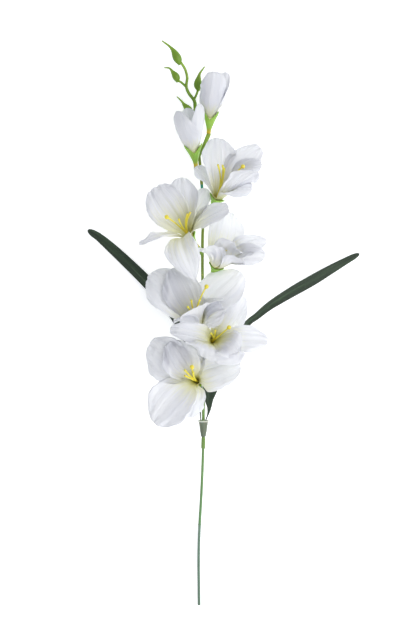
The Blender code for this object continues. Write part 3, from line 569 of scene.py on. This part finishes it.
# %% Tables of the open blooms
BLOOMS = [
    Bloom((12.7, 565, 36), (0.42, 0.80, 0.42), sepals=21),
    Bloom((-10.6, 512.5, 36), (-0.55, 0.65, 0.50), sepals=21),
    Bloom((13.5, 471, 36), (0.34, 0.74, 0.58), sepals=20),
    Bloom((0, 390.6, 36), (-0.35, 0.60, 0.72), sepals=20),
    Bloom((11.3, 375.8, 36), (0.20, 0.15, 0.95), sepals=16, spread=0.95),
    Bloom((-6.3, 318.7, 35), (-0.25, 0.15, 0.95), sepals=16, spread=0.95),
]
PETALS = [
    [
        Petal((6, 97, 13), 56, tip_lean=40, cup=20, wave=2.5, blunt=0.12, pleat=3.4, pleats=3.4, twist=-33),
        Petal((-22, 57, 14), 36, tip_lean=60, inner=False, twist=-22),
        Petal((68, 84, 12), 50, tip_lean=50, inner=False, blunt=0.14, twist=7),
        Petal((70, 58, 32), 41, tip_lean=60, twist=40),
        Petal((63, 46, 64), 42, tip_lean=35, inner=False, twist=-30),
        Petal((55, 23, 43), 42, tip_lean=60, twist=57),
    ],
    [
        Petal((-57, 80, 11), 57, tip_lean=60, inner=False, blunt=0.07, corner=0.5, twist=3),
        Petal((-21, 94, 8), 58, tip_lean=50, twist=32),
        Petal((15, 79, 0), 44, tip_lean=75, inner=False, twist=27),
        Petal((46, 51, 42), 38, tip_lean=85, blunt=0.08, taper=0.15, twist=23),
        Petal((-78, -1, 41), 30, tip_lean=70, twist=8),
        Petal((0, -50, 43), 50, tip_lean=150, inner=False, full=0.62, taper=0.6, blunt=0.3,
              reach=(0.8, 0.5), twist=-32),
    ],
    [
        Petal((22, 88, 6), 55, tip_lean=70, inner=False, blunt=0.12, twist=3),
        Petal((76, 47, 15), 34, tip_lean=70, twist=33),
        Petal((74, 25, 29), 39, tip_lean=75, inner=False, twist=43),
        Petal((-9, 37, 49), 46, tip_lean=40, inner=False, flare=36, reach=(0.6, 0.45), blunt=0.1, twist=86),
        Petal((31, 41, 48), 52, tip_lean=40, flare=34, reach=(0.6, 0.45), twist=-50),
        Petal((44, 19, 48), 40, tip_lean=45, flare=40, reach=(0.6, 0.45), twist=-45),
    ],
    [
        Petal((-75, 79, 10), 62, tip_lean=80, inner=False, blunt=0.12, corner=0.6, twist=-12),
        Petal((-44, 88, 25), 56, tip_lean=70, twist=-3),
        Petal((54, 82, 16), 66, tip_lean=80, inner=False, cup_tip=-15, twist=28),
        Petal((27, 35, 40), 48, tip_lean=60, twist=43),
        Petal((-38, 15, 45), 40, tip_lean=50, twist=60),
        Petal((-4, 37, 50), 86, tip_lean=20, inner=False, flare=12, cup=12, cup_tip=-12, blunt=0.08,
              twist=-56),
    ],
    [
        Petal((26, 62, 1), 29, tip_lean=100, cup=10, inner=False, reach=(0.28, 0.36), twist=-3),
        Petal((45, 65, 12), 46, tip_lean=80, reach=(0.3, 0.36), twist=-3),
        Petal((80, 2, 34), 39, tip_lean=95, inner=False),
        Petal((39, -19, 49), 45, tip_lean=130, reach=(0.7, 0.6), twist=-3),
        Petal((-57, 17, 54), 31, tip_lean=105, reach=(0.5, 0.4), full=0.42, blunt=0.1, twist=3),
        Petal((-1, -27, 49), 84, tip_lean=140, inner=False, reach=(0.9, 0.7), cup=8, cup_tip=-12,
              blunt=0.08, twist=16),
    ],
    [
        Petal((-69, 54, 16), 66, tip_lean=90, inner=False, blunt=0.1, twist=-22),
        Petal((-40, 57, 34), 55, tip_lean=70),
        Petal((-9, 57, 12), 40, tip_lean=95, inner=False, reach=(0.3, 0.36)),
        Petal((59, 25, 19), 54, tip_lean=95, full=0.38, taper=0.55, blunt=0.12, corner=0.5),
        Petal((-62, -57, 24), 68, tip_lean=105, twist=3),
        Petal((-15, -49, 16), 46, tip_lean=105, inner=False, full=0.45),
    ],
]
CLOSED = [
    Bloom((8.3, 674, 36), (0.10, 0.96, 0.24), sepals=29, spread=0.38),
    Bloom((-10.4, 627, 35), (-0.13, 0.96, 0.25), sepals=29, spread=0.45),
]
CLOSED_PETALS = [
    [
        Petal((9, 79, 30), 48, tip_lean=-25, cup=75, cup_tip=55, wave=0.5, full=0.42, blunt=0.1,
              taper=0.2, pleat=0.4),
        Petal((24, 80, 14), 31, tip_lean=5, cup=50, cup_tip=25, twist=40, wave=1, inner=False,
              taper=0.25, pleat=0.4),
        Petal((0, 76, 12), 38, tip_lean=-10, cup=75, cup_tip=55, wave=0.5, inner=False, blunt=0.2,
              taper=0.3, pleat=0.4),
    ],
    [
        Petal((4, 81, 34), 36, tip_lean=-20, cup=65, cup_tip=45, wave=0.5, full=0.5, blunt=0.22,
              taper=0.25, pleat=0.4),
        Petal((-23, 71, 33), 52, tip_lean=-22, cup=70, cup_tip=60, wave=0.5, inner=False, full=0.42,
              blunt=0.26, corner=0.95, taper=0.2, flare=22, pleat=0.4),
        Petal((-12, 77, 8), 38, tip_lean=-10, cup=70, cup_tip=55, wave=0.5, inner=False, blunt=0.2,
              taper=0.3, pleat=0.4),
    ],
]
print("petals:", sum(len(row) for row in PETALS + CLOSED_PETALS))

# %% Petals and the funnel that carries them
DYE = [1.3, 1.9, 1.6, 1.3, 1.6, 1.35]  # how far the dye runs in each open bloom, against a plain petal
FUNNEL_RADII = [2.2, 3.0, 4.2, 5.2, 6.3, 7.8]
FUNNEL_HEIGHTS = [1.0, 4.5, 8.0, 11.5, 15.0, 18.5]
FUNNEL_DYE = 0.1  # the funnel's map is squeezed to this share, so all of it lies in the dye


def silk_bloom(name, bloom, petals, node, seed, dye=1.0):
    """All the petals of one bloom, with the funnel that carries them."""
    bm = start_mesh()
    for number, petal in enumerate(petals):
        petal.lay(bloom, seed + 3.7 * number)
        bend_sheet(bm, 36, 52, petal.point)
    sheet = list(bm.faces)
    roll_sheet(bm, 24, 12, lambda turn, share: bloom.at(
        turn, read_list(FUNNEL_RADII, share), read_list(FUNNEL_HEIGHTS, share)))
    cloth = bm.loops.layers.uv.active
    for face in bm.faces:
        for loop in face.loops:
            loop[cloth].uv.y /= dye
    for face in set(bm.faces) - set(sheet):
        for loop in face.loops:
            loop[cloth].uv.y *= FUNNEL_DYE
    return finish_piece(bm, name, petal_cloth, node, thickness=0.5)


for number, bloom in enumerate(BLOOMS, 1):
    made = silk_bloom(f"silk_bloom_{number}", bloom, PETALS[number - 1], f"bloom_{number}", 31.0 * number,
                      DYE[number - 1])
    print(made.name, len(made.data.polygons), "faces")
for number, bloom in enumerate(CLOSED, 1):
    made = silk_bloom(f"silk_bud_{number}", bloom, CLOSED_PETALS[number - 1], f"bud_{number}",
                      17.0 * number)
    print(made.name, len(made.data.polygons), "faces")

# %% [markdown]
# ## Calyxes
# A calyx is a thin moulded cup with three pointed sepals. Its yellow foot is where it left the mould. The
# cup is one rolled sheet: its lower half is the cup, and its upper half runs up to the three points,
# where it has no height between them.

# %% Cups with pointed sepals
def green_calyx(name, bloom, node):
    """The moulded cup of one bloom."""
    waist, waist_radius, wall, notch = 9.0, 4.6, 0.9, 15.5
    rim = waist_radius + (notch - waist) * bloom.spread
    radii = [3.1, 3.15, 3.3, 4.3, waist_radius + wall, (waist_radius + rim) / 2 + wall, rim + wall]
    heights = [-5.0, -2.5, 0.0, 4.5, 8.0, 12.0, notch]

    def place(turn, share):
        if share <= 0.5:
            return bloom.at(turn, read_list(radii, share * 2) - wall / 2, read_list(heights, share * 2))
        off_middle = abs((turn * 3 + 0.5) % 1 - 0.5) * 2
        climb = (share - 0.5) * 2
        lift = (bloom.sepals - notch) * (1 - off_middle) ** 1.3 * climb
        keel = 0.5 * (1 - min(off_middle * 3, 1)) * climb * (1 - climb) * 4
        return bloom.at(turn, rim + wall / 2 + lift * bloom.spread * 1.1 + keel, notch + lift)

    bm = start_mesh()
    roll_sheet(bm, 60, 28, place)
    return finish_piece(bm, name, calyx_plastic, node, thickness=wall * 0.9)


for number, bloom in enumerate(BLOOMS, 1):
    green_calyx(f"green_calyx_{number}", bloom, f"calyx_{number}")
for number, bloom in enumerate(CLOSED, 1):
    green_calyx(f"green_bud_calyx_{number}", bloom, f"bud_calyx_{number}")
print("calyxes made:", len(BLOOMS) + len(CLOSED))

# %% [markdown]
# ## Stamens
# One moulded tuft stands in each throat: a short foot with a few thin filaments. One of them ends in a
# round head, the others are slightly club shaped. The foot is stout where it fills the throat, and slim
# in the lowest bloom, whose throat is open.

# %% Moulded tufts
STAMENS = [
    [(43, 55, 40), (8, 58, 34), (15, 57, 36), (17, 53, 34)],
    [(-40, 37, 42), (-23, 34, 42), (-11, 42, 32), (-7, 44, 34)],
    [(18, 38, 32), (13, 36, 31), (20, 33, 33)],
    [(5, 62, 50), (-21, 34, 54), (-16, 43, 50), (-4, 44, 52)],
    [(25, 20, 46), (0, 12, 42), (6, 16, 44)],
    [(-9, 22, 46), (-19, 18, 45), (-19, 10, 42), (-7, 15, 44)],
]


STOUT_FOOT, SLIM_FOOT = [1.6, 2.8, 2.2], [1.3, 1.4, 1.1]
HEAD_RADIUS = 3.1


def yellow_stamens(name, bloom, tips, node, foot):
    """The tuft of one bloom. foot lists the radii of its foot."""
    bm = start_mesh()
    sweep(bm, [bloom.node + bloom.axis * h for h in (6.4, 7.0, 8.2)], foot)
    for k, tip in enumerate(tips):
        angle = math.tau * k / len(tips)
        root = bloom.axis * 7.6 + bloom.turn @ Vector((math.cos(angle), math.sin(angle), 0)) * 0.55
        tip = Vector(tip)
        control = root + bloom.axis * (tip - root).length * 0.55
        path = [bloom.node + root * (1 - t) ** 2 + control * (2 * t * (1 - t)) + tip * t * t
                for t in (i / 22 for i in range(23))]
        sweep(bm, path, [1.3, 1.2, 1.1, 1.05, 1.0, 1.1, 1.5 if k else 1.0], around=12)
        if k == 0:
            head = bmesh.ops.create_icosphere(bm, subdivisions=3, radius=HEAD_RADIUS, calc_uvs=True)
            along = (path[-1] - path[-2]).normalized().to_track_quat("Z", "Y")
            for vert in head["verts"]:
                dimple = 1 + 0.10 * noise.noise(vert.co * 0.9)
                vert.co = path[-1] + along @ (vert.co * dimple)
    return finish_piece(bm, name, stamen_plastic, node)


for number, bloom in enumerate(BLOOMS, 1):
    yellow_stamens(f"yellow_stamens_{number}", bloom, STAMENS[number - 1], f"stamens_{number}",
                   SLIM_FOOT if number == len(BLOOMS) else STOUT_FOOT)
print("tufts made:", len(BLOOMS))

# %% [markdown]
# ## Stem, branches and rod
# The lower rod is wire in a plastic coat, with a ring of extra plastic where two dips meet. It slides into
# the foot of the upper stem, which has faint rings where its sections meet. The branches are moulded: they
# are thicker than the stem and a brighter green.

# %% The rod and the upper stem
ROD_LENGTH, ROD_RADIUS, BORE_RADIUS = 237.5, 1.9, 1.1
ROD_EDGE = [(0.0, 1.5), (0.15, 1.8), (0.6, ROD_RADIUS)]  # distances from an end of the rod, and radii there
DIPS_MEET = 115.6
STEM_FOOT, STEM_END = 238, 689.6
SECTIONS_MEET = (285, 336, 392, 452, 497, 548, 600, 652)


def lower_rod():
    """The coated rod: a tube whose wall turns in at both ends to leave the bore for its wire."""
    rows = [(0.0, BORE_RADIUS)] + ROD_EDGE
    rows += [((ROD_LENGTH - 0.5) * i / 150, ROD_RADIUS) for i in range(1, 150)]
    rows += [(ROD_LENGTH - y, radius) for y, radius in reversed(ROD_EDGE)]
    rows += [(ROD_LENGTH - ROD_LENGTH * i / 40, BORE_RADIUS) for i in range(41)]
    path = [stem_point(y) for y, _ in rows]

    def place(turn, share):
        k = round(share * (len(rows) - 1))
        y, radius = rows[k]
        along = (stem_point(min(y + 1, ROD_LENGTH + 1)) - stem_point(max(y - 1, 0))).normalized()
        across = along.cross(UP).normalized()
        if radius > BORE_RADIUS:
            ring = 0.35 * math.exp(-((y - DIPS_MEET) / 0.9) ** 2)
            run = 0.12 * math.exp(-((y - DIPS_MEET + 2.6) / 2.5) ** 2)
            radius += ring + run + 0.07 * noise.noise(Vector((y * 0.11, 0, 4.0)))
        angle = math.tau * turn
        return path[k] + (across * math.cos(angle) + across.cross(along) * math.sin(angle)) * radius

    bm = start_mesh()
    roll_sheet(bm, 20, len(rows) - 1, place)
    return finish_piece(bm, "coated_rod", rod_coating, "stem_rod")


def upper_stem():
    """The moulded upper stem, with a thicker foot, and faint rings where its sections meet."""
    bm = start_mesh()
    sweep(bm, stem_stretch(224, 240.5, 12), [2.75, 2.9, 2.9, 2.9, 2.9, 2.85, 2.3], around=20)

    def swell(turn, share):
        y = STEM_FOOT + (STEM_END - STEM_FOOT) * share
        ring = sum(0.28 * math.exp(-((y - at) / 1.1) ** 2) for at in SECTIONS_MEET)
        return ring + 0.10 * noise.noise(Vector((y * 0.09, math.cos(math.tau * turn) * 0.6, 9.0)))

    sweep(bm, stem_stretch(STEM_FOOT, STEM_END, 300), [2.1, 2.1], around=20, swell=swell)
    return finish_piece(bm, "upper_stem", spine_coating, "spike_stem")


lower_rod()
upper_stem()
print("rod and upper stem made")

# %% The branches
BRANCH_ROOTS = [551, 497, 456, 378, 367, 320]  # where each branch leaves the stem, open blooms first
CLOSED_ROOTS = [638, 612]


def branches():
    """A short branch from the stem to each calyx, swollen at both of its ends."""
    bm = start_mesh()
    for bloom, root_y in zip(BLOOMS + CLOSED, BRANCH_ROOTS + CLOSED_ROOTS):
        root = stem_point(root_y)
        shoulder = bloom.node - bloom.axis * 5.3
        neck = shoulder - bloom.axis * 2.5
        path = smooth_path([root, root.lerp(neck, 0.5) + UP * 0.5, neck, shoulder], 26)
        swell = lambda turn, share: 0.08 * noise.noise(Vector((share * 9, root_y, 2.0)))
        sweep(bm, path, [2.3, 2.0, 2.1, 2.4, 2.8, 3.1, 3.1], around=18, swell=swell)
    return finish_piece(bm, "stem_branches", branch_plastic, "spike_stem", replace=False)


branches()
print("branches made:", len(BRANCH_ROOTS) + len(CLOSED_ROOTS))

# %% [markdown]
# ## The tip
# The tip is one soft moulding: a thin crooked shaft with four green buds, each drawn out to a curved
# point. Shallow grooves run down each bud where its bracts meet.

# %% The sprig of green buds
SHAFT = [(-10.3, 690, 29.4), (-11, 707, 30), (-12.5, 716, 31), (-20, 726, 31.5), (-23.6, 736, 32),
         (-22.3, 748, 33), (-25.4, 760, 34), (-31, 769, 34.5)]
STALKS = [
    [(-23.5, 735, 32), (-31, 741.5, 32.5), (-36.3, 744, 33.3)],
    [(-12.6, 717, 31), (-8.9, 725, 32), (-6.6, 732, 33.3)],
    [(-11, 704, 30), (-14.5, 700, 30), (-17.5, 699, 30.2)],
]
GREEN_BUDS = [
    (1.0, [(-32, 766, 34), (-37.4, 777.6, 35), (-42, 786, 36), (-48, 792.4, 36.5), (-57.8, 799.5, 37)]),
    (0.86, [(-35.5, 741.5, 33), (-38, 749, 34), (-42.6, 755.5, 35), (-47.4, 761, 35.5),
            (-54.7, 761.7, 36)]),
    (0.94, [(-6.5, 729, 33), (-7.3, 738, 34), (-6.1, 747.6, 35), (-4.2, 754, 36), (2.5, 763.2, 37)]),
    (0.9, [(-15, 696, 30), (-22.3, 705, 30.5), (-27, 710.5, 31), (-30, 714.7, 31.5), (-37, 721.5, 32)]),
]


BUD_RADII = [1.7, 5.3, 6.3, 5.5, 3.6, 2.1, 1.6, 1.3, 0.9]


def bract_seam(turn, share):
    """Three grooves that wind down the fat part of a green bud, where its bracts meet."""
    return -0.35 * (1 - abs(math.sin(math.pi * (turn * 3 + share)))) ** 6 * (share < 0.6)


def bud_sprig():
    """The whole tip: shaft, stalks and green buds."""
    bm = start_mesh()
    sweep(bm, smooth_path(SHAFT, 60), [2.8, 2.7, 2.4, 2.2, 2.0, 1.9, 1.9])
    for route in STALKS:
        sweep(bm, smooth_path(route, 16), [1.8, 1.65, 1.7])
    for size, route in GREEN_BUDS:
        rough = [size * read_list(BUD_RADII, i / 40) for i in range(41)]
        windows = [rough[max(i - 2, 0) : i + 3] for i in range(41)]
        radii = [sum(window) / len(window) for window in windows]
        sweep(bm, smooth_path(route, 41), radii, around=24, swell=bract_seam)
    return finish_piece(bm, "tip_sprig", sprig_plastic, "bud_sprig")


bud_sprig()
print("green buds made:", len(GREEN_BUDS))

# %% [markdown]
# ## Leaves and their sleeve
# Two strap leaves spring from a grey sleeve pushed up the stem. Each narrows to a wiry stalk at its foot,
# is folded like a shallow gutter, and droops until its end lies flat on the table.

# %% Two strap leaves
LYING = 0.45  # height of a leaf's middle where it lies on the table
TIP_ROUND = 0.035  # share of a leaf's length over which its tip is rounded


class Leaf:
    """A strap leaf on a thin stalk. widths are full measures in mm, evenly spaced from stalk to tip."""

    def __init__(self, route, widths, stalk, flat, fold=12):
        self.path = smooth_path(route, 160)
        for place in self.path:
            place.z = max(place.z, LYING)
        self.widths, self.stalk, self.flat, self.fold = widths, stalk, flat, math.radians(fold)

    def point(self, u, v):
        """The sheet at u across, from -1 to 1, and v along, from its stalk to its tip."""
        last = len(self.path) - 1
        spot = min(v * last, last - 1e-6)
        k = int(spot)
        place = self.path[k].lerp(self.path[k + 1], spot - k)
        along = self.path[min(k + 3, last)] - self.path[max(k - 2, 0)]
        across = along.cross(UP).normalized()
        close = math.sqrt(max(1 - max((v - 1 + TIP_ROUND) / TIP_ROUND, 0) ** 2, 0))
        half = sum(read_list(self.widths, v + d) for d in (-0.02, 0, 0.02)) / 6 * close
        open_up = ease(self.stalk, self.stalk + 0.1, v)
        bent = 1 - ease(0.6, self.flat, v)
        fold = math.tan(self.fold) * ease(self.stalk, self.stalk + 0.2, v) * bent
        rib = 0.5 * math.exp(-((u * half / 1.3) ** 2)) * open_up * (1 - ease(0.7, self.flat, v))
        wander = 0.5 * noise.noise(Vector((v * 14, 5 * (u > 0), 1.5))) * u * u * bent * open_up
        return place + across * (u * half) + UP * (abs(u) * half * fold - rib + wander)


LEAVES = {
    "left": Leaf(
        [(-2.55, 259.5, 19.6), (-3.1, 264, 20.1), (-3.8, 272, 20.8), (-3.8, 286, 21.5), (-4.2, 314, 20.5),
         (-15, 362, 17.5), (-37, 410, 14), (-59, 437, 11.5), (-82.5, 463, 8.5), (-111.7, 491.4, 4.6),
         (-129.5, 507.8, 2.2), (-147, 523, LYING), (-156, 529, LYING), (-164.5, 534.3, LYING)],
        [1.0, 2.0, 2.6, 4, 7.5, 11, 13.5, 15.2, 16.3, 17, 17.5, 17.6, 17.4, 17.1, 16.7, 16.2, 15.6, 14.8,
         13.4, 11.4, 9],
        stalk=0.1, flat=0.86),
    "right": Leaf(
        [(3.4, 259.5, 19.7), (4.2, 265, 20.6), (6.8, 272, 22.2), (8.8, 282, 24.6), (8.6, 296, 26.8),
         (12.5, 314, 26.5), (22, 341, 23.5), (39, 371, 19.5), (62.3, 400.4, 16), (76.5, 411.7, 14.2),
         (95.1, 426.6, 11.8), (123.6, 444.4, 8.6), (156.3, 463, 4.9), (180.5, 477.2, 2.2),
         (197, 486.6, LYING), (210, 493.8, LYING), (223, 500.6, LYING)],
        [1.0, 2.2, 12, 21, 20, 15.5, 12.4, 10.4, 9.2, 8.8, 9.4, 11, 12.6, 14, 15, 15.4, 15, 13.6, 11.6,
         9.4, 7],
        stalk=0.04, flat=0.88, fold=9),
}
for side, leaf in LEAVES.items():
    bm = start_mesh()
    bend_sheet(bm, 20, 200, leaf.point)
    bmesh.ops.remove_doubles(bm, verts=bm.verts, dist=WELD)
    made = finish_piece(bm, "strap_leaf_" + side, leaf_green, "leaf_" + side, thickness=0.8)
    print(made.name, len(made.data.polygons), "faces")

# %% The sleeve and its pale ring
SLEEVE = (241, 264)  # where the sleeve starts and ends


def lathe(name, rows, finish, node):
    """A closed ring of wall turned round the stem. rows are (distance along the stem, radius)."""
    along = (stem_point(SLEEVE[1]) - stem_point(SLEEVE[0])).normalized()
    across = along.cross(UP).normalized()
    raised = across.cross(along)

    def place(turn, share):
        y, radius = rows[round(share * (len(rows) - 1))]
        angle = math.tau * turn
        return stem_point(y) + (across * math.cos(angle) + raised * math.sin(angle)) * radius

    bm = start_mesh()
    roll_sheet(bm, 48, len(rows) - 1, place)
    return finish_piece(bm, name, finish, node)


sleeve = [(241, 2.4), (246, 2.4), (264, 5.8), (264, 5.9), (263.9, 6.4), (263.6, 6.6), (260, 6.2),
          (256, 5.65), (252, 5.1), (249, 4.75), (247.4, 4.5), (246.6, 4.2), (244, 3.8), (241.3, 3.5),
          (241, 3.3), (241, 2.4)]
lathe("grey_sleeve", sleeve, sleeve_plastic, "leaf_collar")
ring = [(262, 6.9), (264, 6.9), (264.1, 7.05), (264.1, 7.4), (263.9, 7.6), (262.1, 7.6), (261.9, 7.4),
        (261.9, 7.05), (262, 6.9)]
lathe("pale_ring", ring, ring_plastic, "collar_band")
print("sleeve and ring made")

# %% [markdown]
# ## Table, light and camera
# The spray lies on a plain white table under a broad soft light, which is how such a stem is shot for a
# catalogue. White silk on white needs some direction in the light, or its folds vanish: one soft panel
# stands to the upper right, a larger one beyond the cut end, and an even pale sky fills the rest.

# %% Table
def white_table():
    """A wide white table. It glows a little, so that it stays as plain as the photograph's background."""
    made, tree, shader = new_material("matt_white_laminate_with_painted_glow", 0.75)
    place = add_node(tree, "TexCoord", {}).outputs["Object"]
    haze = add_node(tree, "TexNoise", {"Vector": place, "Scale": 3.0, "Detail": 2.0})
    tone = mix_colours(tree, haze.outputs["Fac"], "fafafa", "fdfdfd")
    tree.links.new(tone, shader.inputs["Base Color"])
    # painted glow: the table gives off light of its own, which keeps the shadows on it faint
    shader.inputs["Emission Color"].default_value = linear("fcfdff")
    shader.inputs["Emission Strength"].default_value = 0.56
    bm = bmesh.new()
    bmesh.ops.create_grid(bm, x_segments=8, y_segments=8, size=4.0)
    mesh = bpy.data.meshes.new("table_top")
    bm.to_mesh(mesh)
    bm.free()
    mesh.materials.append(made)
    table = bpy.data.objects.new("table_top", mesh)
    bpy.context.scene.collection.objects.link(table)


white_table()
print("table laid")

# %% Light
def soft_panel(name, place, size, power):
    """A square soft box that faces the middle of the spray."""
    lamp = bpy.data.lights.new(name, "AREA")
    lamp.shape = "SQUARE"
    lamp.size = size
    lamp.energy = power
    made = bpy.data.objects.new(name, lamp)
    made.location = place
    made.rotation_euler = (-Vector(place)).to_track_quat("-Z", "Y").to_euler()
    bpy.context.scene.collection.objects.link(made)


soft_panel("key_panel", (0.5, 0.35, 0.85), size=0.8, power=4.8)
soft_panel("fill_panel", (0.5, -1.4, 0.9), size=1.0, power=15)
sky = bpy.data.worlds.new("pale_studio")
sky.use_nodes = True
sky.node_tree.nodes["Background"].inputs["Color"].default_value = linear("eef0fa")
sky.node_tree.nodes["Background"].inputs["Strength"].default_value = 0.42
bpy.context.scene.world = sky
bpy.context.scene.view_settings.view_transform = "Standard"
print("two soft panels and a pale sky")

# %% Camera
# One pixel of the photograph is 1.41 mm at the height of the stem. The camera hangs 3.5 m up, straight
# above the middle of the picture.
PIXEL, PICTURE_HEIGHT = 1.41, 630  # mm, and pixels
PICTURE_MIDDLE = (9.87, 413.1)  # mm in the spray's own frame
EYE_HEIGHT, STEM_HEIGHT, SENSOR = 3.5, 0.035, 36.0  # metres, metres, and mm
lens = bpy.data.cameras.new("camera")
eye = bpy.data.objects.new("camera", lens)
eye.location = ((PICTURE_MIDDLE[0] - MIDDLE.x) * MM, (PICTURE_MIDDLE[1] - MIDDLE.y) * MM, EYE_HEIGHT)
lens.sensor_width = SENSOR
lens.lens = SENSOR * (EYE_HEIGHT - STEM_HEIGHT) / (PICTURE_HEIGHT * PIXEL * MM)
bpy.context.scene.collection.objects.link(eye)
bpy.context.scene.camera = eye
print("lens:", round(lens.lens, 1), "mm")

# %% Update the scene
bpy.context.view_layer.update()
